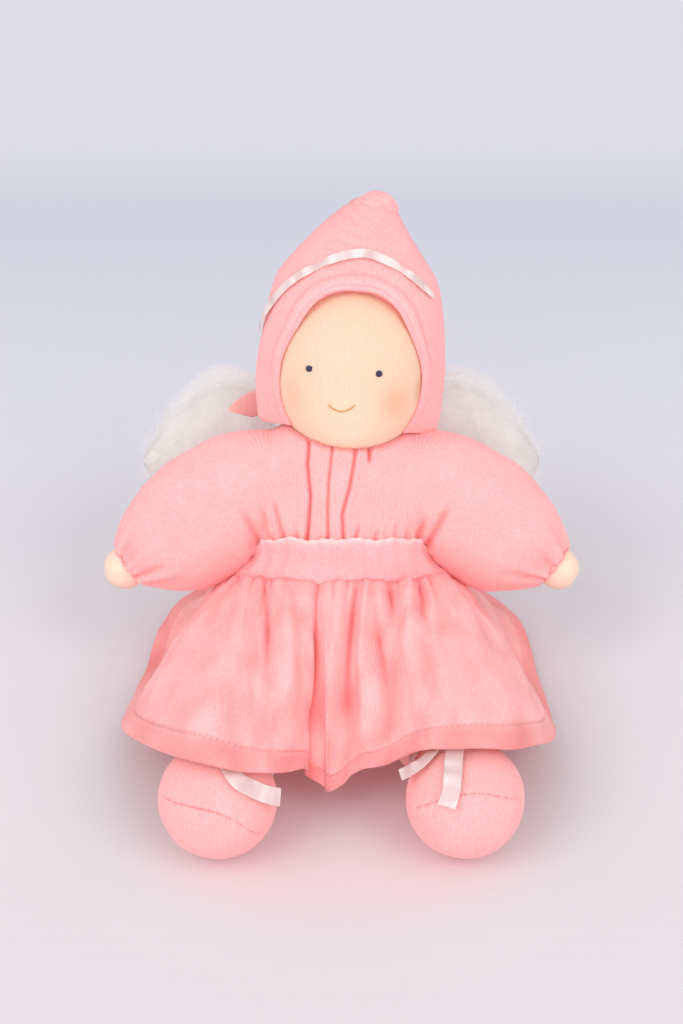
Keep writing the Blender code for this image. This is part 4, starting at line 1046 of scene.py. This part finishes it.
def brim_half_width(up):
    centre, half_width, half_depth = bonnet_section(up)
    share = (centre[:, 1] - brim_plane(up)) / half_depth
    return half_width * np.sqrt(np.maximum(0.0, 1 - share**2))


def hugged(points):
    """The bonnet's front edge, drawn in at the cheeks until it lies on the face."""
    points = points.copy()
    across, back, up = points.T
    away = np.maximum(0.0, back - brim_plane(up))
    share = smooth_step(-up, -0.016, 0.006) * np.exp(-((away / 0.010) ** 2))
    height = np.where(up > 0, HEAD_CROWN, HEAD_CHIN)
    level = 1 - (back / HEAD_RADIUS) ** 2 - (up / height) ** 2
    cheek = HEAD_RADIUS * np.sqrt(np.maximum(0.0, level)) + 0.0015
    pull = np.maximum(0.0, np.abs(across) - cheek)
    points[:, 0] = across - np.sign(across) * pull * share
    return points


def brim_path(count):
    """Points along the bonnet's front edge in the head's frame, from its right side to its left."""
    low, high = 0.0, 0.05
    for _ in range(40):
        middle = (low + high) / 2
        if brim_half_width(np.array((middle,)))[0] > 0:
            low = middle
        else:
            high = middle
    angle = (np.linspace(0, 1, count) - 0.5) * math.pi
    up = BONNET_LOW + (low - 0.0004 - BONNET_LOW) * np.cos(angle)
    across = np.sign(angle) * brim_half_width(up)
    _, half_width, _ = bonnet_section(up)
    turn = np.arcsin(np.clip(across / half_width, -1, 1))
    return up, turn, across


def make_bonnet():
    def place(u, v):
        angle = 2 * math.pi * u
        top = np.clip((v - 0.955) / 0.045, 0, 1) * math.pi / 2
        up = BONNET_LOW + np.minimum(v / 0.955, 1.0) * (BONNET_RISE - BONNET_LOW)
        points = on_bonnet(angle + math.pi, up, 0.0)
        summit = bonnet_section(up)[0]
        points = summit + (points - summit) * np.cos(top)[:, None]
        points[:, 2] += 0.0030 * np.sin(top)
        front = -np.cos(angle + math.pi)
        out = unit(points - columns(0 * up, 0 * up + BONNET_SETBACK, up))
        cone = smooth_step(up, 0.036, 0.058)
        drawn = up + 0.0030 * np.sin(angle * 2 + 1.0) + 0.10 * points[:, 0] + lumps(points, 40.0, 0.0016, 2.0)
        ripple = np.sin(drawn * 1350) * np.clip(0.30 + 1.6 * lumps(points, 45.0, 1.0, 6.0), 0.0, 1.0)
        edge = brim_plane(up)
        away = (points[:, 1] - edge) * math.cos(BRIM_PITCH)
        shift = 0.00030 * ripple * cone
        shift += lumps(points, 58.0, 0.0007, 9.0) * smooth_step(away, 0.0, 0.012)
        gathered = 1 - smooth_step(up, -BONNET_DROP, -BONNET_DROP + 0.014)
        pleats = np.cos(angle * 22 + 2 * np.sin(angle * 3))
        shift += 0.0006 * gathered * pleats * smooth_step(-front, -0.3, 0.5)
        shift -= 0.0020 * (1 - smooth_step(up, BONNET_LOW, -BONNET_DROP + 0.0012)) ** 2
        shift -= 0.00045 * np.exp(-(((away - 0.0030) / 0.0004) ** 2))
        shift += 0.00025 * smooth_step(-away, -0.003, -0.0005)
        # Painted shade in the hollows of the ripples and along the stitched groove; paler along the front
        # edge
        shade_and_tone = -0.30 * cone * np.clip(-ripple, 0, 1) - 0.30 * np.exp(-(((away - 0.0030) / 0.0005) ** 2))
        shade_and_tone = shade_and_tone + 0.30 * (1 - smooth_step(away, 0.0, 0.0026))
        return from_head(hugged(points + out * shift[:, None])), columns(angle * 0.038, up), shade_and_tone

    mesh = surface("bonnet_velour", 300 * DETAIL, 190 * DETAIL, place)
    flat = to_head(coordinates(mesh))
    flat[:, 1] -= brim_plane(flat[:, 2])
    set_coordinates(mesh, flat)
    bm = bmesh.new()
    bm.from_mesh(mesh)
    cut_away(bm, (0, 0, 0), (0, -1, 0))
    bm.to_mesh(mesh)
    bm.free()
    cut = coordinates(mesh)
    cut[:, 1] += brim_plane(cut[:, 2])
    set_coordinates(mesh, from_head(cut))
    piece = solidified(finished(link("bonnet_velour", mesh), PINK), VELOUR)
    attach(piece, "head")
    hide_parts("bonnet_shell")
    make_brim()
    make_tip()
    make_ribbon()
    make_nape_bow()


def make_brim():
    up, turn, across = brim_path(150)
    plane = brim_plane(up)
    edge = hugged(columns(across, plane, up))
    centre = columns(0 * up, 0 * up + BONNET_SETBACK, up)
    ups = unit(edge - centre)
    ups[:, 1] *= 0.2
    inward = edge - unit(ups) * 0.00075
    for _ in range(6):
        inward[1:-1] = 0.5 * inward[1:-1] + 0.25 * (inward[:-2] + inward[2:])
    forward = np.array((0.0, -math.cos(BRIM_PITCH), -math.sin(BRIM_PITCH)))
    wobble = lumps(inward, 240.0, 0.00035)[:, None] * forward
    path = from_head(inward + forward * 0.0004 + wobble)
    piece = laid("brim_hem", path, unit(ups) @ HEAD_TURN.T, *HEM_HALF, 14, 0.05, 0.85,
                 PINK_PLAIN, "velour", "head")
    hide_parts("bonnet_brim")
    make_facing(edge)
    behind = hugged(on_bonnet_behind(up, turn, 0.0030))
    stitches("brim_stitches", from_head(behind), (behind - centre) @ HEAD_TURN.T, 0.0013, 0.0019,
             0.00022, STITCH_THREAD, "head")


def make_facing(edge):
    """The turned-in cloth of the bonnet's front edge, which meets the face, painted darker towards it as
    shade.
    """
    radii = np.array((HEAD_RADIUS, HEAD_RADIUS, HEAD_CROWN))

    def place(u, v):
        spot = np.clip(u * (len(edge) - 1), 0, len(edge) - 1)
        at = read_along(spot, np.arange(len(edge)), edge)
        behind = at + np.array((0.0, 0.0045, 0.0))
        low = behind[:, 2] < 0
        size = np.where(low[:, None], (HEAD_RADIUS, HEAD_RADIUS, HEAD_CHIN), radii)
        share = np.linalg.norm(behind / size, axis=1)
        inner = behind / np.maximum(share, 0.5)[:, None] * 0.985
        way = v[:, None]
        points = at * (1 - way) + inner * way
        points[:, 1] -= 0.0010 * np.sin(math.pi * v)
        # Painted shade, darker towards the face
        return from_head(points), columns(u * 0.14, v * 0.008), -0.55 * v

    shaped("brim_facing", 150, 8, place, PINK_PLAIN, "head")


def on_bonnet_behind(up, turn, distance):
    """Points on the bonnet a little behind its front edge."""
    aside = np.abs(np.sin(turn)) / BRIM_SIDE
    share = np.minimum(aside, 1.0)
    step = np.sign(np.sin(turn) + 1e-9) * share * distance / BONNET_HALF[1]
    return on_bonnet(turn + step, up + (1 - share) * distance, np.where(aside > 1, -0.0001, 0.0))


def make_tip():
    """The folded point, drawn over to the left."""

    def place(u, v):
        azimuth, polar, ball = unit_ball(u, v)
        radii = np.array((0.0096, 0.0084, 0.0070))
        points = ball * radii
        points[:, 2] += 0.10 * points[:, 0] - 18.0 * np.maximum(points[:, 0], 0) ** 2
        fold = np.exp(-(((points[:, 0] - 0.0035 + 0.5 * points[:, 2]) / 0.0011) ** 2))
        fold = fold * smooth_step(-ball[:, 1], 0.0, 0.6)
        points = points * (1 - 0.10 * fold)[:, None]
        points = points + ball * (lumps(ball, 2.2, 0.0007))[:, None]
        points = points + np.array((0.0058, BONNET_SETBACK * 1.45, BONNET_RISE - 0.0014))
        return from_head(points), columns(azimuth * 0.008, polar * 0.008)

    piece = shaped("bonnet_point", 64, 48, place, PINK, "head")
    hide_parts("bonnet_tip")


def make_ribbon():
    """Satin ribbon laid over the bonnet's front, dipping under the cloth in places."""
    turn = np.linspace(math.radians(-84), math.radians(60), 120)
    up = 0.0503 - 0.0285 * (np.abs(turn - 0.05) / math.radians(78)) ** 1.8
    low = smooth_step(np.abs(turn + math.radians(30)), 0.0, 0.14)
    low = low * smooth_step(np.abs(turn - math.radians(34)), 0.0, 0.14)
    proud = 0.0006 + 0.0007 * low + 0.0002 * np.sin(turn * 13)
    around = on_bonnet(turn + 0.01, up, 0.0) - on_bonnet(turn - 0.01, up, 0.0)
    upward = on_bonnet(turn, up + 0.001, 0.0) - on_bonnet(turn, up - 0.001, 0.0)
    ups = unit(np.cross(around, upward))
    path = on_bonnet(turn, up, 0.0) + ups * proud[:, None]
    width = 0.0021 * (0.72 + 0.28 * low) * (1 - 0.75 * smooth_step(turn, math.radians(48), math.radians(64)))
    piece = laid("bonnet_satin", from_head(path), ups @ HEAD_TURN.T, width, 0.00025, 16, 0.05, 0.7,
                 WHITE_SATIN, "satin", "head")
    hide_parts("bonnet_ribbon")


def make_nape_bow():
    """The tied ribbon at the nape, one tail reaching round the right side."""
    for k, (direction, spots) in enumerate(NAPE_TAILS):
        degrees, proud, lift = np.array(spots, float).T
        turn = math.pi + direction * np.radians(degrees)
        spots = on_bonnet(turn, NAPE_RISE + lift, proud)
        path = smooth_path(spots, 40)
        path[:, 2] += 0.0006 * np.sin(np.linspace(0, 7, 40))
        out = path - np.array((0.0, BONNET_SETBACK, 0.0)) * np.array((1, 1, 0))
        out[:, 2] = 0.006 * np.sin(np.linspace(0, 5, 40))
        width = np.interp(np.linspace(0, 1, 40), (0, 0.70, 1), (0.0030, 0.0060, 0.0008))
        piece = laid(f"nape_tail_{k}", from_head(path), out @ HEAD_TURN.T, width, 0.0002, 14, 0.6, 0.7,
                     PINK_SATIN, "satin", "head")
        if k == 0:
            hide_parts("nape_bow")

    def place(u, v):
        azimuth, polar, ball = unit_ball(u, v)
        knot = ball * np.array((0.0039, 0.0026, 0.0036)) * (1 + 0.08 * np.cos(azimuth * 5))[:, None]
        knot = knot + on_bonnet(np.array((math.pi,)), np.array((NAPE_RISE,)), 0.0032)[0]
        return from_head(knot), columns(azimuth * 0.003, polar * 0.003)

    shaped("nape_knot", 40, 24, place, PINK_SATIN, "head")


# Hands, legs and feet


def make_hand(side):
    name = side_name(side)
    turn, start = arm_frame(side)
    centre = start + turn @ np.array((0.0, 0.0, HAND_REACH))

    def place(u, v):
        azimuth, polar, ball = unit_ball(u, v)
        near = smooth_step(-ball[:, 2], 0.1, 0.8)
        radius = HAND_RADIUS * (1 + 0.035 * near * np.cos(azimuth * 8)) * (1 - 0.03 * np.abs(ball[:, 1]))
        local = ball * radius[:, None]
        local = local + ball * lumps(ball, 1.6, 0.0004, side)[:, None]
        return from_body(local @ turn.T + centre), columns(azimuth * 0.008, polar * 0.009)

    piece = shaped(f"hand_{name}", 56, 40, place, HAND_SKIN, f"arm_{name}")
    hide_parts(f"hand_skin_{name}")
    along = ARM_LENGTH + 0.0006
    radius = math.sqrt(HAND_RADIUS**2 - (HAND_REACH - along) ** 2) + 0.0006
    angle = np.linspace(0, 2 * math.pi, 61)
    height = along + 0.0003 * np.cos(angle * 9)
    ring = columns(radius * np.cos(angle), radius * np.sin(angle), height)
    piece = thread_piece(f"wrist_gather_{name}", [ring @ turn.T + start], 0.0003, PINK_THREAD,
                         f"arm_{name}", from_body)
    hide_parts(f"wrist_thread_{name}")


def foot_place(side):
    return FOOT * np.array((side, 1, 1)) + SEAT_POINT


def cleared_of_foot(points, side, room):
    return cleared_of_ball(points, foot_place(side), (FOOT_RADIUS,) * 3, np.eye(3), room)


def leg_axis(side):
    """The leg's hip, its length, the way along it and its own turn."""
    reach = (FOOT - HIP) * np.array((side, 1, 1))
    length = np.linalg.norm(reach)
    along = reach / length
    turn = np.array(Vector(along).to_track_quat("Z", "Y").to_matrix())
    return HIP * np.array((side, 1, 1)) + SEAT_POINT, length, along, turn


def make_leg(side):
    name = side_name(side)
    hip, length, _, turn = leg_axis(side)
    end = length - math.sqrt(FOOT_RADIUS**2 - ANKLE_RADIUS**2) + 0.001

    def place(u, v):
        angle = 2 * math.pi * u
        dome = v < 0.25
        polar = np.clip(v / 0.25, 0, 1) * math.pi / 2
        share = np.clip((v - 0.25) / 0.75, 0, 1)
        radius = np.where(dome, HIP_RADIUS * np.sin(polar), blended(LEG_ROWS, share)[0])
        height = np.where(dome, -HIP_RADIUS * np.cos(polar), share * end)
        tied = smooth_step(share, 0.72, 1.0)
        radius = radius * (1 + 0.028 * tied * np.cos(angle * 13 + np.sin(angle * 3)))
        local = columns(radius * np.cos(angle), radius * np.sin(angle), height)
        local = local + lumps(local, 70.0, 0.0004, side * 3)[:, None] * unit(local)
        points = local @ turn.T + hip
        return cleared_of_foot(points, side, 0.0004), columns(angle * 0.018, height)

    piece = shaped(f"trouser_{name}", 84, 70, place, PINK, f"leg_{name}")
    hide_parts(f"trouser_leg_{name}")


def make_foot(side):
    name = side_name(side)
    foot = foot_place(side)

    def place(u, v):
        azimuth, polar = 2 * math.pi * u - math.pi, math.pi * v
        level = np.sin(polar)
        ball = columns(level * np.sin(azimuth), -level * np.cos(azimuth), -np.cos(polar))
        seam = blended(SEAMS[side], np.degrees(azimuth))[0] / FOOT_RADIUS
        low, high = math.radians(SEAMS[side][0][0]), math.radians(SEAMS[side][-1][0])
        ends = smooth_step(azimuth, low, low + 0.4) * (1 - smooth_step(azimuth, high - 0.4, high))
        gap = (ball[:, 2] - seam) / np.maximum(np.sqrt(1 - np.minimum(seam**2, 0.95)), 0.3) * FOOT_RADIUS
        groove = np.exp(-((gap / 0.0007) ** 2)) - 0.5 * np.exp(-((gap / 0.0026) ** 2))
        pucker = np.exp(-((gap / 0.0032) ** 2)) * np.cos(azimuth * 34)
        shift = -0.0008 * groove * ends + 0.00016 * pucker * ends
        shift = shift + lumps(ball, 1.5, 0.0005, side * 5)
        points = foot + ball * (FOOT_RADIUS + shift)[:, None]
        points[:, 2] = np.maximum(points[:, 2], 0.0)
        return points, columns(azimuth * FOOT_RADIUS, polar * FOOT_RADIUS)

    piece = shaped(f"shoe_{name}", 260 * DETAIL, 180 * DETAIL, place, PINK, f"foot_{name}")
    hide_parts(f"foot_cover_{name}")
    degrees = np.linspace(SEAMS[side][0][0] + 6, SEAMS[side][-1][0] - 6, 160)
    up = blended(SEAMS[side], degrees)[0]
    level, angle = np.sqrt(FOOT_RADIUS**2 - up**2), np.radians(degrees)
    out = unit(columns(level * np.sin(angle), -level * np.cos(angle), up))
    path = foot + out * (FOOT_RADIUS - 0.0003)
    piece = stitches(f"shoe_seam_{name}", path, out, 0.0014, 0.0017, 0.00026,
                     SEAM_THREAD, f"foot_{name}")
    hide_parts(f"foot_seam_{name}")


def over_foot(side, rows, proud_step=0.0016):
    rows = np.array(rows, float)
    turn, tip = np.radians(rows[:, 0]), np.radians(rows[:, 1])
    out = columns(np.sin(turn), -np.cos(turn) * np.sin(tip), np.cos(turn) * np.cos(tip))
    return foot_place(side) + out * (FOOT_RADIUS + proud_step * rows[:, 2])[:, None], out


ANKLE_TAILS = {
    1: (
        ((-6, -32, 1.1), (-9, -12, 1.0), (-12, 6, 1.0), (-14, 24, 1.0), (-16, 42, 1.2), (-20, 56, 1.5)),
        ((-16, -30, 1.0), (-30, -12, 1.0), (-42, 2, 1.5), (-53, 8, 2.6), (-60, 12, 4.0)),
    ),
    -1: (
        ((6, -32, 1.1), (8, -8, 1.0), (12, 16, 1.0), (22, 32, 1.1), (36, 39, 1.4), (50, 44, 2.0),
         (62, 47, 3.0)),
        ((0, -30, 1.1), (-5, -10, 1.0), (-9, 4, 1.0)),
    ),
}


def make_ankle(side):
    name = side_name(side)
    hip, length, along, turn = leg_axis(side)
    end = length - math.sqrt(FOOT_RADIUS**2 - ANKLE_RADIUS**2)
    centre = end - 0.004
    inner = blended(LEG_ROWS, np.array(((centre - 0.0025) / end,)))[0][0] + 0.0009
    angle = np.linspace(0, 2 * math.pi, 97)
    radius = inner + 0.0006 + 0.0002 * np.cos(angle * 7)
    height = centre + 0.0002 * np.sin(angle * 5)
    ring = columns(radius * np.cos(angle), radius * np.sin(angle), height)
    ups = ring * np.array((1, 1, 0))
    piece = laid(f"ankle_satin_{name}", ring @ turn.T + hip, ups @ turn.T, 0.0025, 0.00035, 12, 1.0, 0.8,
                 WHITE_SATIN, "satin", f"leg_{name}")
    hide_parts(f"ankle_ribbon_{name}")
    up = unit(np.array((0.0, 0.0, 1.0)) - along * along[2])
    knot = hip + along * centre + up * (inner + 0.0012 + 0.0030)
    for k, rows in enumerate(ANKLE_TAILS[side]):
        spots, outs = over_foot(side, rows)
        path = smooth_path(np.concatenate((knot[None], spots)), 70)
        ups = smooth_path(np.concatenate((up[None], outs)), 70)
        width = np.full(70, RIBBON_HALF)
        width[:12] = np.linspace(RIBBON_HALF / 2, RIBBON_HALF, 12)
        piece = laid(f"ankle_tail_{name}_{k}", path, ups, width, 0.00022, 14, 1.0, 0.7,
                     WHITE_SATIN, "satin", f"leg_{name}")
        if k == 0:
            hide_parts(f"ankle_bow_{name}")

    def place(u, v):
        azimuth, polar, ball = unit_ball(u, v)
        grain = columns(azimuth * 0.003, polar * 0.003)
        return knot + ball * np.array((0.0040, 0.0027, 0.0027)), grain

    shaped(f"ankle_knot_{name}", 36, 24, place, WHITE_SATIN, f"leg_{name}")


# Skirt


def skirt_top(turn):
    rise = BAND_LOW + 0.0012
    share = np.full_like(turn, torso_share(rise))
    _, back, half_width, half_depth, _ = torso_section(share)
    out = 0.0005
    deep = np.cos(turn) * (half_depth + out) + np.minimum(np.cos(turn), 0.0) * SKIRT_BACK_ROOM
    points = columns(np.sin(turn) * (half_width + out), back - deep, np.full_like(turn, rise))
    return points @ BODY_TURN.T


def skirt_base(share, down):
    start = skirt_top(share * math.pi)
    across, back, up = blended(HEM_ROWS, (share + 1) % 2 - 1)
    up = HEM_FLOOR + up * (HEM_RISE - HEM_FLOOR)
    end = columns(across * SKIRT_HALF_WIDTH, back * SKIRT_FRONT, up)
    way = (end - start) * np.array((1, 1, 0))
    lift = np.linalg.norm(way, axis=1)[:, None] * np.array((0.0, 0.0, 1.0))
    front = np.maximum(0.0, np.cos(share * math.pi)) ** 0.7
    behind = np.maximum(0.0, -np.cos(share * math.pi)) ** 0.5
    side = 1 - np.maximum(front, behind)
    weights = columns(front, side, behind)
    rows = np.array(((0.36, 0.05, 0.30, 0.10), (0.42, 0.04, 0.22, 0.26), (0.46, -0.06, 0.55, 0.0)))
    leave = (weights @ rows) / weights.sum(1, keepdims=True)
    first = start + way * leave[:, 0:1] + lift * leave[:, 1:2]
    last = end - way * leave[:, 2:3] + lift * leave[:, 3:4]
    t = down[:, None]
    return (1 - t) ** 3 * start + 3 * (1 - t) ** 2 * t * first + 3 * (1 - t) * t**2 * last + t**3 * end


def gathers(share, down):
    """The small pleats under the band, from -1 in their valleys to 1."""
    wave = np.cos(share * math.pi * 30 + 2.6 * np.sin(share * 23) + 1.5 * down)
    return 2 * np.abs((wave + 1) / 2) ** 0.6 - 1


def fold_height(share, down):
    total = np.zeros_like(share)
    for top, low, height, wide_top, wide_low, strongest, reach in FOLDS:
        line = top + (low - top) * down + 0.006 * np.sin(down * 7 + top * 30)
        spread = wide_top + (wide_low - wide_top) * down
        apart = (share - line + 1) % 2 - 1
        along = np.exp(-(((down - strongest) / reach) ** 2))
        total += height * np.exp(-((apart / spread) ** 2)) * along
    opened = smooth_step(down, 0.035, 0.095)
    total = total * smooth_step(down, 0.015, 0.10)
    total += 0.0015 * np.exp(-down / 0.16) * opened * gathers(share, down)
    total += 0.0009 * np.exp(-down / 0.40) * opened * np.cos(share * math.pi * 17 + 1.5 * np.sin(share * 13))
    return total + 0.0013 * smooth_step(down, 0.060, 0.200) * np.exp(-down / 0.6)


def make_skirt():
    step = 0.003

    def place(u, v):
        share = 2 * u - 1
        base = skirt_base(share, v)
        around = skirt_base(share + step, v) - skirt_base(share - step, v)
        along = skirt_base(share, np.minimum(v + step, 1.0)) - skirt_base(share, np.maximum(v - step, 0.0))
        out = unit(np.cross(along, around))
        height = 1.15 * fold_height(share, v)
        # Painted shade in the valleys of the folds, under the waistband and in the valleys of the small
        # gathers
        shade_and_tone = -0.85 * smooth_step(-height, -0.0003, 0.0036)
        shade_and_tone -= 0.95 * (1 - smooth_step(v, 0.030, 0.085))
        shade_and_tone -= 0.60 * np.clip(-gathers(share, v), 0, 1) ** 2 * np.exp(-v / 0.14)
        sway = columns(share * 8 + 1.5 * v, v * 2.6 - share * 2, 0 * v)
        height += 0.0016 * lumps(sway, 1.0, 1.0)
        # Pressed pile: small bumps, with paler and deeper patches painted as its sheen
        pressed = columns(share * 19 + 2.5 * v, v * 6 - share * 6, 0 * v)
        crush_and_sheen = lumps(pressed, 1.0, 1.0, 3.0)
        height += 0.0010 * crush_and_sheen
        shade_and_tone += 0.55 * crush_and_sheen * smooth_step(v, 0.10, 0.30)
        height += 0.0005 * lumps(columns(share * 52, v * 12, 0 * v), 1.0, 1.0, 5.0)
        hem = (1 - v) * SKIRT_LENGTH
        seam = np.exp(-(((hem - HEM_WIDTH) / 0.0006) ** 2))
        seam = seam * (1 - 0.8 * smooth_step(np.abs(share), 0.50, 0.60))
        height -= 0.0008 * seam
        height += 0.0005 * (1 - smooth_step(hem, 0.85 * HEM_WIDTH, HEM_WIDTH))
        # Painted shade in the seam's groove and over the hem band, which turns down away from the light; a
        # painted highlight along the top of the raised band
        shade_and_tone -= 0.45 * seam + 0.52 * (1 - smooth_step(hem, 0.85 * HEM_WIDTH, HEM_WIDTH))
        shade_and_tone += 0.25 * np.exp(-(((hem - 0.0086) / 0.0008) ** 2))
        points = base + out * height[:, None] + SEAT_POINT
        for side in (1, -1):
            points = cleared_of_foot(points, side, 0.0030)
        points[:, 2] = np.maximum(points[:, 2], 0.0007)
        return points, columns(share * (0.14 + 0.14 * v), v * SKIRT_LENGTH), shade_and_tone

    mesh = surface("skirt_velour", 620 * DETAIL, 120 * DETAIL, place)
    piece = solidified(finished(link("skirt_velour", mesh), PINK, "torso"), 0.0011, 0.0)
    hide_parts("skirt")
    share = np.linspace(-0.995, 0.995, 700)
    points, _, _ = place((share + 1) / 2, np.full(700, 1 - HEM_WIDTH / SKIRT_LENGTH))
    inner, _, _ = place((share + 1) / 2, np.full(700, 0.97))
    along = unit(inner - points)
    around = unit(np.gradient(points, axis=0))
    out = unit(np.cross(along, around))
    path = points + out * 0.0006
    row = stitches("hem_stitches", path, out, 0.0016, 0.0024, 0.00024, STITCH_THREAD, "torso")


# Wings


def wing_form(side, u, v, grow, rough, seed):
    azimuth = 2 * math.pi * u
    along = eased(v) * (WING_SPAN + WING_ROOT) - WING_ROOT
    height, depth, lift = blended(WING_ROWS, along / WING_SPAN)
    end = WING_SPAN * 0.30
    tip = np.sqrt(np.maximum(0.0004, 1 - np.maximum(0.0, (along - WING_SPAN + end) / end) ** 2))
    root = np.sqrt(np.maximum(0.05, 1 - np.maximum(0.0, -along / 0.006) ** 2))
    half_height = (height * WING_HALF[0] + grow) * tip * root
    half_depth = np.maximum(depth * WING_HALF[1] + grow, 0.0012) * tip * root
    middle = columns(-side * lift * WING_LIFT, 0 * along, along)
    local = middle + columns(half_height * np.cos(azimuth), half_depth * np.sin(azimuth), 0 * along)
    away = unit(local - middle + 1e-9)
    puff = smooth_step(along, 0.0, 0.02)
    bulge = lumps(local + seed, 60.0, rough) + lumps(local + seed, 150.0, rough * 0.3)
    return local + away * (bulge * puff)[:, None], away


def make_wing(side):
    name = side_name(side)
    hinge = np.array(next(j for j in frame["joints"] if j["name"] == f"wing_{name}")["pos_m"])
    turn = turned("Y", side * math.pi / 2)

    def world(local):
        return (local @ turn.T) @ BODY_TURN.T + hinge

    for k, (grow, rough, thin) in enumerate(WING_LAYERS):
        material = FLUFF if thin else WOOL

        def place(u, v):
            points, _ = wing_form(side, u, v, grow, rough, 3.0 * side + k)
            return world(points), columns(u, v)

        piece = shaped(f"wing_wool_{name}_{k}", 110 * DETAIL, 90 * DETAIL, place, material,
                       f"wing_{name}")
        if k == 0:
            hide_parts(f"wing_{name}")
    make_fibres(side, name, world)


def make_fibres(side, name, world):
    """Loose curled fibres over the wing."""
    count, steps = int(9000 * DETAIL), 6
    u = RANDOM.random(count)
    v = np.arccos(1 - 2 * (0.12 + 0.87 * RANDOM.random(count))) / math.pi
    roots, away = wing_form(side, u, v, -0.001, 0.003, 3.0 * side)
    heading = unit(away * RANDOM.uniform(0.2, 1.0, (count, 1)) + RANDOM.normal(0, 0.55, (count, 3))
                   + np.array((0.0, 0.0, 0.5)))
    length = RANDOM.uniform(0.004, 0.010, count)
    curl = RANDOM.normal(0, 1.0, (count, 3))
    bend = unit(np.cross(heading, curl))
    amount = RANDOM.uniform(-0.9, 0.9, count)
    half = RANDOM.uniform(0.00002, 0.00004, count)
    lines = []
    for step in range(steps):
        t = step / (steps - 1)
        centre = roots + heading * (length * t)[:, None] + bend * (amount * length * t**2 * 0.7)[:, None]
        lines.append((centre, half * (1 - 0.7 * t)))
    mesh = bpy.data.meshes.new(f"wing_fibres_{name}")
    bm = bmesh.new()
    bmesh.ops.create_grid(bm, x_segments=1, y_segments=steps - 1, size=0.5)
    strand = np.array([vertex.co for vertex in bm.verts])
    faces = [[vertex.index for vertex in face.verts] for face in bm.faces]
    bm.free()
    per = len(strand)
    row = np.round((strand[:, 1] + 0.5) * (steps - 1)).astype(int)
    edge = np.sign(strand[:, 0])
    side_way = unit(np.cross(heading, RANDOM.normal(0, 1, (count, 3))))
    points = np.empty((count, per, 3))
    for i in range(per):
        centre, width = lines[row[i]]
        points[:, i] = centre + side_way * (edge[i] * width)[:, None]
    all_faces = (np.array(faces)[None] + np.arange(count)[:, None, None] * per).reshape(-1, 4)
    mesh.from_pydata(world(points.reshape(-1, 3)), [], all_faces.tolist())
    mesh.shade_smooth()
    finished(link(f"wing_fibres_{name}", mesh), STRANDS, f"wing_{name}")


def make_wing_tie():
    node = frame["nodes"]["wing_tie"]
    node.data.materials.clear()
    node.data.materials.append(WOOL)


# Set, light and camera


def make_set():
    bm = bmesh.new()
    bmesh.ops.create_grid(bm, x_segments=1, y_segments=1, size=4.0)
    floor = link("table_cloth", mesh_from("table_cloth", bm))
    floor.location = (0.0, 0.0, -0.0002)
    made, nodes, links, shader = new_material("pale_table")
    place = add_node(nodes, "ShaderNodeTexCoord").outputs["Object"]
    parts = add_node(nodes, "ShaderNodeSeparateXYZ")
    links.new(place, parts.inputs[0])
    ramp = add_node(nodes, "ShaderNodeValToRGB")
    links.new(ranged(nodes, links, parts.outputs["Y"], *FLOOR_REACH), ramp.inputs["Fac"])
    for end, (at, colour) in ((0, FLOOR_STOPS[0]), (1, FLOOR_STOPS[-1])):
        ramp.color_ramp.elements[end].position = at
        ramp.color_ramp.elements[end].color = (*colour, 1)
    for at, colour in FLOOR_STOPS[1:-1]:
        ramp.color_ramp.elements.new(at).color = (*colour, 1)
    weave = [(bands(nodes, links, place, way, TABLE_THREAD), 0.5) for way in ("X", "Y")]
    near = ranged(nodes, links, parts.outputs["Y"], 0.02, -0.10, 0.0, 1.0)
    amount = add_node(nodes, "ShaderNodeMath", operation="MULTIPLY")
    links.new(summed(nodes, links, weave), amount.inputs[0])
    links.new(near, amount.inputs[1])
    shade = add_node(nodes, "ShaderNodeMix", data_type="RGBA", blend_type="MULTIPLY")
    links.new(amount.outputs[0], shade.inputs[0])
    links.new(ramp.outputs["Color"], shade.inputs[6])
    shade.inputs[7].default_value = (0.955, 0.945, 0.95, 1)
    # Painted bounce light: the floor is tinted pink between the feet, as light off the skirt would colour it
    away = away_from(nodes, links, place, SEAT_POINT + np.array((0.0, -0.085, 0.0)))
    painted_bounce = ranged(nodes, links, away, 0.075, 0.030, 0.0, 0.45, "SMOOTHSTEP")
    links.new(mixed(nodes, links, painted_bounce, shade.outputs[2], (0.84, 0.65, 0.68)), shader.inputs["Base Color"])
    shader.inputs["Roughness"].default_value = 0.9
    floor.data.materials.append(made)


def sun(name, place, power, spread, colour):
    data = bpy.data.lights.new(name, "SUN")
    data.energy = power
    data.angle = spread
    data.color = colour
    made = link(name, data)
    made.rotation_euler = (Vector(LAMP_AIM) - Vector(place)).to_track_quat("-Z", "Y").to_euler()


def make_light():
    world = bpy.data.worlds.new("soft_box")
    bpy.context.scene.world = world
    world.use_nodes = True
    back = world.node_tree.nodes["Background"]
    back.inputs["Color"].default_value = (0.95, 0.96, 1.0, 1)
    back.inputs["Strength"].default_value = 0.76
    for lamp in LAMPS:
        sun(*lamp)


def make_camera():
    data = bpy.data.cameras.new("camera")
    data.sensor_width = 36.0
    data.lens = LENS
    data.clip_start = 0.02
    made = link("camera", data)
    made.location = (0.0, SEAT_POINT[1] - CAMERA_BACK, CAMERA_RISE)
    made.rotation_euler = (math.pi / 2 - CAMERA_PITCH, 0.0, 0.0)
    bpy.context.scene.camera = made


make_camera()
make_bodice()
make_seat()
make_waistband()
make_skirt()
make_face()
make_bonnet()
for each_side in (1, -1):
    make_hand(each_side)
    make_leg(each_side)
    make_foot(each_side)
    make_ankle(each_side)
    make_wing(each_side)
make_wing_tie()
make_set()
make_light()
bpy.context.scene.view_settings.view_transform = "Standard"
